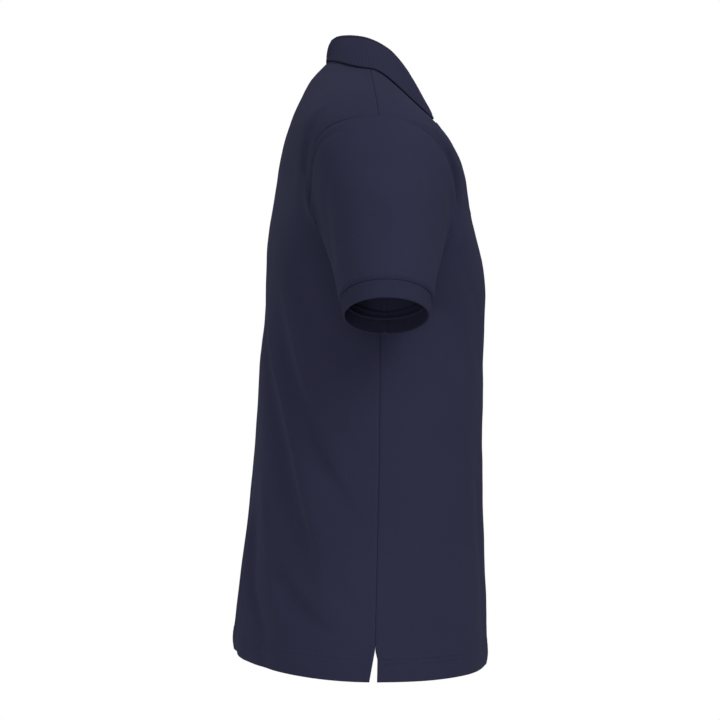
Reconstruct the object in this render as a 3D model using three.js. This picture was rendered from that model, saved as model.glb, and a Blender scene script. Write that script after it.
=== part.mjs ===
// Polo shirt in its worn, hollow shape: knit cloth walls, open at the neck, the cuffs and the hem.
// Millimetres, +Z up. The front faces -Y and the wearer's left is +X. The origin is on the centre
// plane, level with the points where the shoulder seams meet the neck.
import * as THREE from "three";

// Cloth, seams and turned edges.
const panelThickness = 1.5;
const ribThickness = 2.2;
const seamGap = 0.3;
const hemTurnHeight = 25;

// Levels are distances up the side line of the shirt from the hem, through the armhole to the neck.
const ventLevel = 37.5;
const underarmLevel = 463;
const shoulderTipLevel = 613;
const neckLevel = 785;
const ventSpread = 4;

// Cross sections of the body from the hem to the neck. Heights and depths are those of the
// centre front, of the side line and of the centre back. Squareness is the power of the rounded
// ring, 2 for an ellipse. Fall says how soon a ring leaves the height of its side line.
const bodySections = [
  {
    level: 0, frontZ: -707, sideZ: -698.5, backZ: -691, frontY: -140, sideY: -4, backY: 164,
    halfWidth: 201, squareness: 2.05, fall: 1,
  },
  {
    level: 60, frontZ: -644, sideZ: -638, backZ: -634, frontY: -138.4, sideY: -5, backY: 157.2,
    halfWidth: 199, squareness: 2.06, fall: 1,
  },
  {
    level: 150, frontZ: -551, sideZ: -548, backZ: -545, frontY: -134.8, sideY: -7, backY: 145.8,
    halfWidth: 196, squareness: 2.1, fall: 1,
  },
  {
    level: 250, frontZ: -448, sideZ: -448, backZ: -446, frontY: -132.8, sideY: -9, backY: 137,
    halfWidth: 195, squareness: 2.15, fall: 1,
  },
  {
    level: 350, frontZ: -348, sideZ: -348, backZ: -347, frontY: -134.4, sideY: -10, backY: 131,
    halfWidth: 197, squareness: 2.25, fall: 1,
  },
  {
    level: 422, frontZ: -277, sideZ: -276, backZ: -276, frontY: -136.8, sideY: -11, backY: 124.4,
    halfWidth: 201, squareness: 2.4, fall: 1,
  },
  {
    level: 463, frontZ: -240, sideZ: -235, backZ: -233, frontY: -133, sideY: -12, backY: 123,
    halfWidth: 206, squareness: 2.55, fall: 0.9,
  },
  {
    level: 538, frontZ: -190, sideZ: -160, backZ: -154, frontY: -122.4, sideY: -12, backY: 114.4,
    halfWidth: 275, squareness: 1.82, fall: 0.7,
  },
  {
    level: 613, frontZ: -143, sideZ: -85.5, backZ: -78, frontY: -110.6, sideY: -8, backY: 97,
    halfWidth: 225, squareness: 2.55, fall: 0.5,
  },
  {
    level: 697, frontZ: -100, sideZ: -41, backZ: -30, frontY: -94.6, sideY: -3, backY: 78,
    halfWidth: 154, squareness: 2.3, fall: 0.3,
  },
  {
    level: 745, frontZ: -75, sideZ: -19.5, backZ: -10, frontY: -83, sideY: 0, backY: 66,
    halfWidth: 110, squareness: 2.2, fall: 0.235,
  },
  {
    level: 785, frontZ: -56, sideZ: -2, backZ: 11, frontY: -68, sideY: 3, backY: 46.8,
    halfWidth: 74, squareness: 2.05, fall: 0.235,
  },
];

// Armhole: how far it opens from the side line towards the front and the back, in degrees.
const armholeFrontAngle = 25.5;
const armholeBackAngle = 22.5;

// Large soft folds in the body, each a straight run between two places, in degrees around from
// the wearer's right side towards the back and in levels. Rise is positive for a ridge.
const bodyFolds = [
  { fromAngle: 36, fromLevel: 362, toAngle: 4, toLevel: 172, width: 17, rise: -4.5 },
  { fromAngle: 50, fromLevel: 320, toAngle: 21, toLevel: 168, width: 15, rise: -4 },
  { fromAngle: 30, fromLevel: 455, toAngle: 22, toLevel: 372, width: 20, rise: -5 },
  { fromAngle: 62, fromLevel: 262, toAngle: 45, toLevel: 120, width: 14, rise: -2.5 },
  { fromAngle: 80, fromLevel: 205, toAngle: 74, toLevel: -20, width: 13, rise: -3 },
  { fromAngle: 88, fromLevel: 215, toAngle: 86, toLevel: -20, width: 13, rise: 1.8 },
  { fromAngle: 64, fromLevel: 150, toAngle: 60, toLevel: -20, width: 15, rise: 2 },
  { fromAngle: 97, fromLevel: 190, toAngle: 99, toLevel: -20, width: 14, rise: -3 },
  { fromAngle: 111, fromLevel: 170, toAngle: 115, toLevel: -20, width: 16, rise: 2.5 },
  { fromAngle: 124, fromLevel: 255, toAngle: 138, toLevel: 90, width: 15, rise: -3 },
  { fromAngle: 131, fromLevel: 335, toAngle: 158, toLevel: 180, width: 16, rise: -4 },
  { fromAngle: 146, fromLevel: 372, toAngle: 177, toLevel: 196, width: 18, rise: -4.5 },
  { fromAngle: 151, fromLevel: 450, toAngle: 159, toLevel: 366, width: 19, rise: -4.5 },
  { fromAngle: -20, fromLevel: 425, toAngle: -38, toLevel: 330, width: 18, rise: -3 },
  { fromAngle: -161, fromLevel: 430, toAngle: -143, toLevel: 322, width: 18, rise: -3 },
  { fromAngle: -56, fromLevel: 235, toAngle: -62, toLevel: 40, width: 20, rise: -2.5 },
  { fromAngle: -122, fromLevel: 220, toAngle: -115, toLevel: 20, width: 22, rise: -2.5 },
];
const foldReach = 168;
const foldEndLength = 40;

// Sleeve on the wearer's right: it runs from the armhole to the seam of its ribbed cuff.
const cuffSeamCenter = new THREE.Vector3(-262, -15.5, -284);
const cuffTilt = THREE.MathUtils.degToRad(22);
const sleeveEnd = { halfDepth: 50, halfWidth: 52.5 };
const cuffTop = { halfDepth: 47.6, halfWidth: 50.8 };
const cuffBottom = { halfDepth: 45.6, halfWidth: 49.8 };
const cuffHeight = 20;
const sleeveLeave = [
  { turn: 0, across: -0.72, height: -0.69, reach: 24 },
  { turn: 90, across: -0.8, height: -0.6, reach: 24 },
  { turn: 180, across: -0.76, height: -0.65, reach: 60 },
];
const sleeveArrive = [
  { turn: 0, reach: 26 },
  { turn: 90, reach: 54 },
  { turn: 180, reach: 78 },
];
const sleeveInset = 6;
const sleeveFlare = 7;

// Collar, right half from the centre back to the centre front: where its seam runs around the
// neck, where its fold lies, and where its outer edge rests on the shirt.
const collarStations = [
  { share: 0, seamAngle: 90, foldX: 0, foldY: 43.6, foldZ: 33.6, edgeAngle: 90, edgeLevel: 778 },
  { share: 0.2, seamAngle: 62, foldX: -28, foldY: 37, foldZ: 31.8, edgeAngle: 62, edgeLevel: 775.5 },
  { share: 0.4, seamAngle: 32, foldX: -52, foldY: 20, foldZ: 28.4, edgeAngle: 30, edgeLevel: 768.5 },
  { share: 0.55, seamAngle: 5, foldX: -62, foldY: 1, foldZ: 23, edgeAngle: 4, edgeLevel: 753 },
  { share: 0.7, seamAngle: -22, foldX: -60.5, foldY: -20, foldZ: 12.4, edgeAngle: -18, edgeLevel: 741 },
  { share: 0.82, seamAngle: -45, foldX: -49, foldY: -42, foldZ: -10.5, edgeAngle: -36, edgeLevel: 741 },
  { share: 0.92, seamAngle: -67, foldX: -28, foldY: -57.5, foldZ: -36.5, edgeAngle: -53, edgeLevel: 751 },
  { share: 1, seamAngle: -88.6, foldX: -3.2, foldY: -67.5, foldZ: -49, edgeAngle: -70, edgeLevel: 766 },
];
const collarFoldRadius = 2.4;
const collarSeamRun = 5;
const collarSeamLift = 1;
const collarEdgeLift = 2.1;
const collarRoll = 5;

// Placket down the centre front, closed left over right, and its buttons.
const placketHalfWidth = 16;
const placketUnderHalfWidth = 14;
const placketLevel = 561;
const placketSlitLevel = 570;
const placketSlitHalfWidth = 5;
const buttonLevels = [756, 691, 619];
const button = { radius: 5.7, thickness: 2.2, rimWidth: 1.2, dishDepth: 0.6, edgeRound: 0.6 };

// How finely the surfaces are divided.
const skirtRows = 17;
const armholeSteps = 14;
const shoulderRows = 7;
const panelHalfColumns = 12;
const sleeveRows = 9;
const collarHalfColumns = 17;
const placketColumns = 4;
const buttonSides = 20;

const clothColor = 0x2d2e43;
const ribColor = 0x2a2b40;
const buttonColor = 0x24253a;

const up = new THREE.Vector3(0, 0, 1);

// Rounds a table column off into a smooth curve without overshoot, and reads it at one place.
function readColumn(table, key, place, column) {
  const last = table.length - 1;
  let row = 0;
  while (row < last - 1 && place > table[row + 1][key]) row += 1;
  const slope = (index) => {
    const before = table[index - 1];
    const here = table[index];
    const after = table[index + 1];
    const left = before ? (here[column] - before[column]) / (here[key] - before[key]) : null;
    const right = after ? (after[column] - here[column]) / (after[key] - here[key]) : null;
    if (left === null) return right;
    if (right === null) return left;
    return left * right > 0 ? (2 * left * right) / (left + right) : 0;
  };
  const start = table[row];
  const end = table[row + 1];
  const span = end[key] - start[key];
  const share = (place - start[key]) / span;
  const bend = share * share * (3 - 2 * share);
  const value = start[column] + (end[column] - start[column]) * bend;
  const startTangent = slope(row) * span * share * (1 - share) * (1 - share);
  const endTangent = slope(row + 1) * span * share * share * (share - 1);
  return value + startTangent + endTangent;
}

function smoothStep(value) {
  const held = Math.min(Math.max(value, 0), 1);
  return held * held * (3 - 2 * held);
}

function radians(degrees) {
  return THREE.MathUtils.degToRad(degrees);
}

// Height of all folds at one place: each is a round-topped run that fades out past its ends.
function foldRise(around, level) {
  let total = 0;
  for (const fold of bodyFolds) {
    let turn = around - radians(fold.fromAngle);
    turn = Math.atan2(Math.sin(turn), Math.cos(turn));
    const runX = radians(fold.toAngle - fold.fromAngle) * foldReach;
    const runY = fold.toLevel - fold.fromLevel;
    const length = Math.hypot(runX, runY);
    const atX = turn * foldReach;
    const atY = level - fold.fromLevel;
    const along = (atX * runX + atY * runY) / length;
    const aside = (atX * runY - atY * runX) / length;
    const startFade = smoothStep((along + foldEndLength / 2) / foldEndLength);
    const endFade = smoothStep((length - along + foldEndLength / 2) / foldEndLength);
    total += fold.rise * startFade * endFade * Math.exp(-((aside / fold.width) ** 2));
  }
  return total;
}

// Outer surface of the body. Around is 0 at the wearer's right side, a quarter turn at the
// centre back and minus a quarter turn at the centre front. Each ring is a rounded box whose
// height moves from that of its side line to that of the front or back.
function bodyPoint(around, level) {
  const read = (column) => readColumn(bodySections, "level", level, column);
  const cosine = Math.cos(around);
  const sine = Math.sin(around);
  const sideY = read("sideY");
  const sideZ = read("sideZ");
  const isFront = sine < 0;
  const depth = isFront ? sideY - read("frontY") : read("backY") - sideY;
  const squareness = read("squareness");
  const acrossTerm = (Math.abs(cosine) / read("halfWidth")) ** squareness;
  const depthTerm = (Math.abs(sine) / depth) ** squareness;
  const radius = (acrossTerm + depthTerm) ** (-1 / squareness) + foldRise(around, level);
  const fall = read("fall");
  const share = (sine * sine * (1 + fall)) / (sine * sine + fall);
  const endZ = isFront ? read("frontZ") : read("backZ");
  return new THREE.Vector3(
    -radius * cosine,
    sideY + radius * sine,
    sideZ + (endZ - sideZ) * share,
  );
}

// Directions on the body surface at one place: up along it, and straight out of it.
function bodyFrame(around, level) {
  const step = 0.002;
  const rise = bodyPoint(around, level + 0.5).sub(bodyPoint(around, level - 0.5)).normalize();
  const turn = bodyPoint(around + step, level).sub(bodyPoint(around - step, level));
  const out = new THREE.Vector3().crossVectors(rise, turn).normalize();
  return { rise, out };
}

function bodyPointLifted(around, level, lift) {
  return bodyPoint(around, level).addScaledVector(bodyFrame(around, level).out, lift);
}

// Place on the body's front at a distance across from the centre line.
function frontAngle(across, level) {
  const depth = readColumn(bodySections, "level", level, "sideY")
    - readColumn(bodySections, "level", level, "frontY");
  return -Math.PI / 2 - Math.atan(across / depth);
}

// One closed wall from an outer and an inner grid of points, in rows of columns. Outwards is
// from the row direction to the column direction. Each cell is split along its shorter diagonal.
// Cells that keep says no to are left out, and every open border of the cells is closed from the
// outer to the inner grid.
function wallGeometry(outer, inner, { closed = false, keep = () => true } = {}) {
  const rows = outer.length;
  const columns = outer[0].length;
  const cellRows = rows - 1;
  const cellColumns = closed ? columns : columns - 1;
  const outerPoints = outer.flat();
  const positions = [...outerPoints, ...inner.flat()].flatMap((point) => point.toArray());
  const outerIndex = (row, column) => row * columns + (column % columns);
  const innerIndex = (row, column) => rows * columns + outerIndex(row, column);
  const isKept = (row, column) => {
    if (row < 0 || row >= cellRows) return false;
    if (!closed && (column < 0 || column >= cellColumns)) return false;
    return keep(row, (column + cellColumns) % cellColumns);
  };
  const index = [];
  const addBorder = (rowA, columnA, rowB, columnB) => {
    const outerA = outerIndex(rowA, columnA);
    const outerB = outerIndex(rowB, columnB);
    const innerA = innerIndex(rowA, columnA);
    const innerB = innerIndex(rowB, columnB);
    index.push(outerB, outerA, innerA, outerB, innerA, innerB);
  };
  for (let row = 0; row < cellRows; row += 1) {
    for (let column = 0; column < cellColumns; column += 1) {
      if (!isKept(row, column)) continue;
      const corners = [[row, column], [row + 1, column], [row + 1, column + 1], [row, column + 1]];
      const [a, b, c, d] = corners.map(([r, k]) => outerIndex(r, k));
      const [e, f, g, h] = corners.map(([r, k]) => innerIndex(r, k));
      const forward = outerPoints[a].distanceTo(outerPoints[c]);
      const isForward = forward < outerPoints[b].distanceTo(outerPoints[d]);
      if (isForward) index.push(a, b, c, a, c, d, e, g, f, e, h, g);
      else index.push(a, b, d, b, c, d, e, h, f, f, h, g);
      if (!isKept(row, column - 1)) addBorder(row, column, row + 1, column);
      if (!isKept(row + 1, column)) addBorder(row + 1, column, row + 1, column + 1);
      if (!isKept(row, column + 1)) addBorder(row + 1, column + 1, row, column + 1);
      if (!isKept(row - 1, column)) addBorder(row, column + 1, row, column);
    }
  }
  return trimmedGeometry(positions, index);
}

// Geometry without the points that no triangle uses.
function trimmedGeometry(positions, index) {
  const newPlace = new Map();
  const kept = [];
  const newIndex = index.map((old) => {
    if (!newPlace.has(old)) {
      newPlace.set(old, newPlace.size);
      kept.push(...positions.slice(old * 3, old * 3 + 3));
    }
    return newPlace.get(old);
  });
  const geometry = new THREE.BufferGeometry();
  geometry.setAttribute("position", new THREE.Float32BufferAttribute(kept, 3));
  geometry.setIndex(newIndex);
  geometry.computeVertexNormals();
  return geometry;
}

function mirroredGrid(grid) {
  const mirroredPoint = (point) => new THREE.Vector3(-point.x, point.y, point.z);
  return grid.map((row) => row.map(mirroredPoint).reverse());
}

// Levels of the panel's rows. Through the armhole they follow its round edge.
const armholeLevels = Array.from({ length: armholeSteps + 1 }, (_, step) => {
  const share = (1 - Math.cos((Math.PI * step) / armholeSteps)) / 2;
  return underarmLevel + (shoulderTipLevel - underarmLevel) * share;
});
const skirtLevels = [0, hemTurnHeight, ventLevel];
for (let row = 1; row < skirtRows - 2; row += 1) {
  skirtLevels.push(ventLevel + ((underarmLevel - ventLevel) * row) / (skirtRows - 2));
}
const shoulderLevels = Array.from({ length: shoulderRows }, (_, row) => (
  shoulderTipLevel + ((neckLevel - shoulderTipLevel) * (row + 1)) / shoulderRows
));
const panelLevels = [...skirtLevels, ...armholeLevels, ...shoulderLevels];

// Angle between the side line and a panel's edge at one level, with half of the seam's gap.
function panelEdgeAngle(level, armholeAngle) {
  const halfWidth = readColumn(bodySections, "level", level, "halfWidth");
  const halfGap = seamGap / 2 / halfWidth;
  if (level < ventLevel) {
    return halfGap + (ventSpread / halfWidth) * (1 - level / ventLevel);
  }
  if (level < underarmLevel || level > shoulderTipLevel) return halfGap;
  const middle = (underarmLevel + shoulderTipLevel) / 2;
  const half = (shoulderTipLevel - underarmLevel) / 2;
  const opening = Math.sqrt(Math.max(0, 1 - ((level - middle) / half) ** 2));
  return halfGap + radians(armholeAngle) * opening;
}

// Front panel: columns from the wearer's left side to the right side, with one narrow column at
// the centre that is left out above the slit's end.
function frontPanelGeometry() {
  const halves = Array.from({ length: panelHalfColumns + 1 }, (_, column) => (
    column / panelHalfColumns
  ));
  const columnAngles = (level) => {
    const edge = panelEdgeAngle(level, armholeFrontAngle);
    const slitLeft = frontAngle(placketSlitHalfWidth, level);
    const slitRight = frontAngle(-placketSlitHalfWidth, level);
    const left = halves.map((share) => THREE.MathUtils.lerp(edge - Math.PI, slitLeft, share));
    const right = halves.map((share) => THREE.MathUtils.lerp(slitRight, -edge, share));
    return [...left, ...right];
  };
  const outer = panelLevels.map((level) => (
    columnAngles(level).map((angle) => bodyPoint(angle, level))
  ));
  const inner = panelLevels.map((level) => (
    columnAngles(level).map((angle) => bodyPointLifted(angle, level, -panelThickness))
  ));
  const slitRow = panelLevels.findIndex((level) => level >= placketSlitLevel);
  const keep = (row, column) => row < slitRow || column !== panelHalfColumns;
  return wallGeometry(outer, inner, { keep });
}

function backPanelGeometry() {
  const columns = 2 * panelHalfColumns;
  const columnAngles = (level) => {
    const edge = panelEdgeAngle(level, armholeBackAngle);
    return Array.from({ length: columns + 1 }, (_, column) => (
      THREE.MathUtils.lerp(edge, Math.PI - edge, column / columns)
    ));
  };
  const outer = panelLevels.map((level) => (
    columnAngles(level).map((angle) => bodyPoint(angle, level))
  ));
  const inner = panelLevels.map((level) => (
    columnAngles(level).map((angle) => bodyPointLifted(angle, level, -panelThickness))
  ));
  return wallGeometry(outer, inner);
}

// The right armhole's edge as the sleeve meets it, a turn of 0 at the underarm, a quarter at the
// back and a half at the shoulder tip. It is drawn in from the panels' edge by the seam's gap.
function armholePoint(turn) {
  const middle = (underarmLevel + shoulderTipLevel) / 2;
  const half = (shoulderTipLevel - underarmLevel) / 2;
  const level = middle - (half - seamGap) * Math.cos(turn);
  const angle = Math.sin(turn) > 0 ? armholeBackAngle : armholeFrontAngle;
  return bodyPoint(radians(angle) * Math.sin(turn) * (1 - seamGap / half), level);
}

// Reads a column of the sleeve's tables, which go from the underarm over either side to the top.
function readTurn(table, turn, column) {
  const fold = Math.abs(Math.atan2(Math.sin(turn), Math.cos(turn)));
  return readColumn(table, "turn", THREE.MathUtils.radToDeg(fold), column);
}

// Along the sleeve's axis towards the cuff, and across its opening towards the body.
const sleeveAxis = new THREE.Vector3(-Math.sin(cuffTilt), 0, -Math.cos(cuffTilt));
const sleeveInward = new THREE.Vector3(Math.cos(cuffTilt), 0, -Math.sin(cuffTilt));

function sleeveRingPoint(turn, size, distance) {
  return cuffSeamCenter.clone()
    .addScaledVector(sleeveAxis, distance)
    .addScaledVector(sleeveInward, size.halfWidth * Math.cos(turn))
    .add(new THREE.Vector3(0, size.halfDepth * Math.sin(turn), 0));
}

// Each line of the sleeve leaves the armhole outwards and arrives at the cuff along its axis,
// on one cubic curve. The inset and the flare keep the tube's front and back outlines nearly
// straight between the two.
function sleevePoint(turn, share) {
  const start = armholePoint(turn);
  const end = sleeveRingPoint(turn, sleeveEnd, 0);
  const leave = new THREE.Vector3(
    readTurn(sleeveLeave, turn, "across"),
    0,
    readTurn(sleeveLeave, turn, "height"),
  );
  const firstHandle = start.clone().addScaledVector(leave, readTurn(sleeveLeave, turn, "reach"));
  firstHandle.y -= sleeveInset * Math.sin(turn);
  const secondHandle = end.clone()
    .addScaledVector(sleeveAxis, -readTurn(sleeveArrive, turn, "reach"));
  secondHandle.y += sleeveFlare * Math.sin(turn);
  return new THREE.CubicBezierCurve3(start, firstHandle, secondHandle, end).getPoint(share);
}

// Inner grid of a closed tube: each point moved in along the normal of the outer surface.
function innerTubeGrid(pointAt, shares, turns, thickness) {
  const step = 0.01;
  return shares.map((share) => turns.map((turn) => {
    const low = Math.max(share - step, 0);
    const high = Math.min(share + step, 1);
    const run = pointAt(turn, high).sub(pointAt(turn, low));
    const across = pointAt(turn + step, share).sub(pointAt(turn - step, share));
    const out = new THREE.Vector3().crossVectors(run, across).normalize();
    return pointAt(turn, share).addScaledVector(out, -thickness);
  }));
}

const tubeTurns = Array.from({ length: 2 * armholeSteps }, (_, step) => (
  (Math.PI * step) / armholeSteps
));

function tubeGeometry(pointAt, rows, thickness, isLeft) {
  const shares = Array.from({ length: rows + 1 }, (_, row) => row / rows);
  const outer = shares.map((share) => tubeTurns.map((turn) => pointAt(turn, share)));
  const inner = innerTubeGrid(pointAt, shares, tubeTurns, thickness);
  if (!isLeft) return wallGeometry(outer, inner, { closed: true });
  return wallGeometry(mirroredGrid(outer), mirroredGrid(inner), { closed: true });
}

function cuffPoint(turn, share) {
  const size = {
    halfDepth: THREE.MathUtils.lerp(cuffTop.halfDepth, cuffBottom.halfDepth, share),
    halfWidth: THREE.MathUtils.lerp(cuffTop.halfWidth, cuffBottom.halfWidth, share),
  };
  return sleeveRingPoint(turn, size, seamGap + (cuffHeight - seamGap) * share);
}

// Middle line of the folded collar at one station, from its seam up the stand, over the fold and
// down the leaf to its edge. A station share of 0 is the centre back and 1 the centre front.
function collarProfile(share) {
  const read = (column) => readColumn(collarStations, "share", share, column);
  const seamAngle = radians(read("seamAngle"));
  const frame = bodyFrame(seamAngle, neckLevel - 1);
  const seam = bodyPoint(seamAngle, neckLevel)
    .addScaledVector(frame.out, -panelThickness / 2)
    .addScaledVector(frame.rise, collarSeamLift);
  const edge = bodyPointLifted(radians(read("edgeAngle")), read("edgeLevel"), collarEdgeLift);
  const fold = new THREE.Vector3(read("foldX"), read("foldY"), read("foldZ"));
  const out = edge.clone().sub(fold).setZ(0).normalize();
  const standTop = fold.clone().addScaledVector(out, -collarFoldRadius);
  const leafTop = fold.clone().addScaledVector(out, collarFoldRadius);
  const standHandle = seam.clone().addScaledVector(frame.rise, collarSeamRun);
  const leafMiddle = leafTop.clone().lerp(edge, 0.45).addScaledVector(up, collarRoll)
    .addScaledVector(out, collarRoll / 2);
  const stand = new THREE.QuadraticBezierCurve3(seam, standHandle, standTop).getPoints(4);
  const leaf = new THREE.QuadraticBezierCurve3(leafTop, leafMiddle, edge).getPoints(6);
  const turnOver = [45, 90, 135].map((degrees) => fold.clone()
    .addScaledVector(out, -collarFoldRadius * Math.cos(radians(degrees)))
    .addScaledVector(up, collarFoldRadius * Math.sin(radians(degrees))));
  return [...stand, ...turnOver, ...leaf];
}

// The collar's wall: the middle surface moved half its thickness to either side.
function collarGeometry() {
  const right = Array.from({ length: collarHalfColumns + 1 }, (_, column) => (
    collarProfile(column / collarHalfColumns)
  ));
  const left = right.slice(1).map((profile) => profile.map((point) => (
    new THREE.Vector3(-point.x, point.y, point.z))));
  const stations = [...left.reverse(), ...right];
  const lastStation = stations.length - 1;
  const lastStep = stations[0].length - 1;
  const offsetGrid = (distance) => stations.map((profile, station) => profile.map((point, step) => {
    const before = stations[Math.max(station - 1, 0)][step];
    const after = stations[Math.min(station + 1, lastStation)][step];
    const along = after.clone().sub(before);
    const run = profile[Math.min(step + 1, lastStep)].clone().sub(profile[Math.max(step - 1, 0)]);
    const out = new THREE.Vector3().crossVectors(run, along).normalize();
    return point.clone().addScaledVector(out, distance);
  }));
  const turned = (grid) => grid[0].map((_, step) => grid.map((profile) => profile[step]));
  return wallGeometry(turned(offsetGrid(ribThickness / 2)), turned(offsetGrid(-ribThickness / 2)));
}

// A strip of the placket, made from the front panel's own surface and moved out or in.
function placketGeometry(halfWidth, lift) {
  const levels = [placketLevel, ...panelLevels.filter((level) => level > placketLevel)];
  const across = Array.from({ length: placketColumns + 1 }, (_, column) => (
    THREE.MathUtils.lerp(halfWidth, -halfWidth, column / placketColumns)
  ));
  const grid = (distance) => levels.map((level) => across.map((place) => (
    bodyPointLifted(frontAngle(place, level), level, distance)
  )));
  return wallGeometry(grid(lift + panelThickness), grid(lift));
}

// Button: a round disc with a raised rim, turned about its axis.
function buttonGeometry() {
  const { radius, thickness, rimWidth, dishDepth, edgeRound } = button;
  const profile = [
    new THREE.Vector2(0, 0),
    new THREE.Vector2(radius - edgeRound, 0),
    new THREE.Vector2(radius, edgeRound),
    new THREE.Vector2(radius, thickness - edgeRound),
    new THREE.Vector2(radius - edgeRound, thickness),
    new THREE.Vector2(radius - rimWidth, thickness),
    new THREE.Vector2(radius - rimWidth - dishDepth, thickness - dishDepth),
    new THREE.Vector2(0, thickness - dishDepth),
  ];
  return new THREE.LatheGeometry(profile, buttonSides);
}

function addMesh(group, name, geometry, color, roughness) {
  const material = new THREE.MeshStandardMaterial({ color, roughness, metalness: 0 });
  material.name = name;
  const mesh = new THREE.Mesh(geometry, material);
  mesh.name = name;
  group.add(mesh);
  return mesh;
}

const shirt = new THREE.Group();
shirt.name = "polo_shirt";
addMesh(shirt, "front_panel", frontPanelGeometry(), clothColor, 0.9);
addMesh(shirt, "back_panel", backPanelGeometry(), clothColor, 0.9);
addMesh(shirt, "collar", collarGeometry(), ribColor, 0.92);
addMesh(shirt, "placket_upper", placketGeometry(placketHalfWidth, seamGap), clothColor, 0.9);
const underLift = -2 * panelThickness - 3 * seamGap;
addMesh(shirt, "placket_under", placketGeometry(placketUnderHalfWidth, underLift), clothColor, 0.9);

for (const side of ["right", "left"]) {
  const isLeft = side === "left";
  const sleeve = tubeGeometry(sleevePoint, sleeveRows, panelThickness, isLeft);
  addMesh(shirt, `sleeve_${side}`, sleeve, clothColor, 0.9);
  const cuff = tubeGeometry(cuffPoint, 2, ribThickness, isLeft);
  addMesh(shirt, `cuff_${side}`, cuff, ribColor, 0.92);
}

buttonLevels.forEach((level, number) => {
  const frame = bodyFrame(-Math.PI / 2, level);
  const mesh = addMesh(shirt, `button_${number + 1}`, buttonGeometry(), buttonColor, 0.35);
  const lift = panelThickness + 2 * seamGap;
  mesh.position.copy(bodyPointLifted(-Math.PI / 2, level, lift));
  mesh.quaternion.setFromUnitVectors(new THREE.Vector3(0, 1, 0), frame.out);
});

export default shirt;
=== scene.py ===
import math

import bpy
import numpy as np
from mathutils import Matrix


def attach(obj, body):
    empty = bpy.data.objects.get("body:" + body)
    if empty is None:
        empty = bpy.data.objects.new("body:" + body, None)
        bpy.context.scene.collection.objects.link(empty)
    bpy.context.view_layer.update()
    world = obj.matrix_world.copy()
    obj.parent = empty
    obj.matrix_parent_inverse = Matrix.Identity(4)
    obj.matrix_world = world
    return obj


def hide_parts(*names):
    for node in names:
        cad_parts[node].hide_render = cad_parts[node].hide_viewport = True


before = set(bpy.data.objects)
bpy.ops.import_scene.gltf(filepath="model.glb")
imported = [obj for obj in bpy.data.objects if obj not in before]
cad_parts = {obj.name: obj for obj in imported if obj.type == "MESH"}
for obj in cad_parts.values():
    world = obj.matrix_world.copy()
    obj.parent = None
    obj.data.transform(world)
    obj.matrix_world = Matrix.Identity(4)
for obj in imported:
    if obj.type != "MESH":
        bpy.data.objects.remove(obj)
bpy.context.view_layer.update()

METRE = 0.001
BODY = "root"

# Cloth and seams.
PANEL_THICKNESS = 1.5
RIB_THICKNESS = 2.2
SEAM_GAP = 0.12
LAYER_GAP = 0.3
HEM_TURN = 26.0
HEM_EXTRA = 0.9
EDGE_HALF_THICKNESS = 0.1

# Levels run up the side line of the shirt from the hem, through the armhole, to the neck.
VENT_LEVEL = 35.5
UNDERARM_LEVEL = 463.0
TIP_LEVEL = 613.0
NECK_LEVEL = 785.0
VENT_SPREAD_FRONT = 2.4
VENT_SPREAD_BACK = 6.0
ARMHOLE_MIDDLE = (UNDERARM_LEVEL + TIP_LEVEL) / 2
ARMHOLE_HALF = (TIP_LEVEL - UNDERARM_LEVEL) / 2
ARMHOLE_FRONT_ANGLE = 25.5
ARMHOLE_BACK_ANGLE = 22.5
ARMHOLE_RADIUS = 78.0


def table(names, rows):
    """Named columns of a table whose rows are written one for each section, fold or station."""
    columns = zip(*rows)
    return {name: np.array(column, float) for name, column in zip(names.split(), columns)}


BODY_SECTIONS = table(
    "level front_z side_z back_z front_y side_y back_y half_width squareness fall",
    [
        (0, -707, -698.5, -691, -140, -4, 164, 201, 2.05, 1),
        (60, -644, -638, -634, -138.4, -5, 157.2, 199, 2.06, 1),
        (150, -551, -548, -545, -134.8, -7, 145.8, 196, 2.1, 1),
        (250, -448, -448, -446, -132.8, -9, 137, 195, 2.15, 1),
        (350, -348, -348, -347, -134.4, -10, 131, 197, 2.25, 1),
        (422, -277, -276, -276, -136.8, -11, 124.4, 201, 2.4, 1),
        (463, -240, -235, -233, -133, -12, 123, 206, 2.55, 0.9),
        (538, -190, -160, -154, -122.4, -12, 114.4, 275, 1.82, 0.7),
        (613, -143, -85.5, -78, -110.6, -8, 97, 225, 2.55, 0.5),
        (697, -100, -41, -30, -94.6, -3, 78, 154, 2.3, 0.3),
        (745, -75, -19.5, -10, -83, 0, 66, 110, 2.2, 0.235),
        (785, -56, -2, 11, -68, 3, 46.8, 74, 2.05, 0.235),
    ],
)

# Large soft folds, in the places of those in the solids: straight runs between two places, in
# degrees around from the wearer's right side towards the back and in levels. Rise is positive for
# a ridge, and end is how softly a run fades in and out.
LARGE_FOLDS = table(
    "from_angle from_level to_angle to_level width rise end",
    [
        (30, 455, 22, 372, 20, -5, 40),
        (80, 205, 74, -20, 13, -3, 130),
        (88, 215, 86, -20, 13, 1.8, 150),
        (64, 150, 60, -20, 15, 2, 110),
        (97, 190, 99, -20, 14, -3, 160),
        (111, 170, 115, -20, 16, 2.5, 120),
        (124, 255, 138, 90, 15, -3, 60),
        (131, 335, 158, 180, 16, -4, 44),
        (146, 372, 177, 196, 18, -4.5, 46),
        (151, 450, 159, 366, 19, -4.5, 40),
        (-20, 425, -38, 330, 18, -3, 44),
        (-161, 430, -143, 322, 18, -3, 44),
        (-56, 235, -62, 40, 20, -2.5, 90),
        (-122, 220, -115, 20, 22, -2.5, 90),
    ],
)
FOLD_REACH = 168.0

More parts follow.
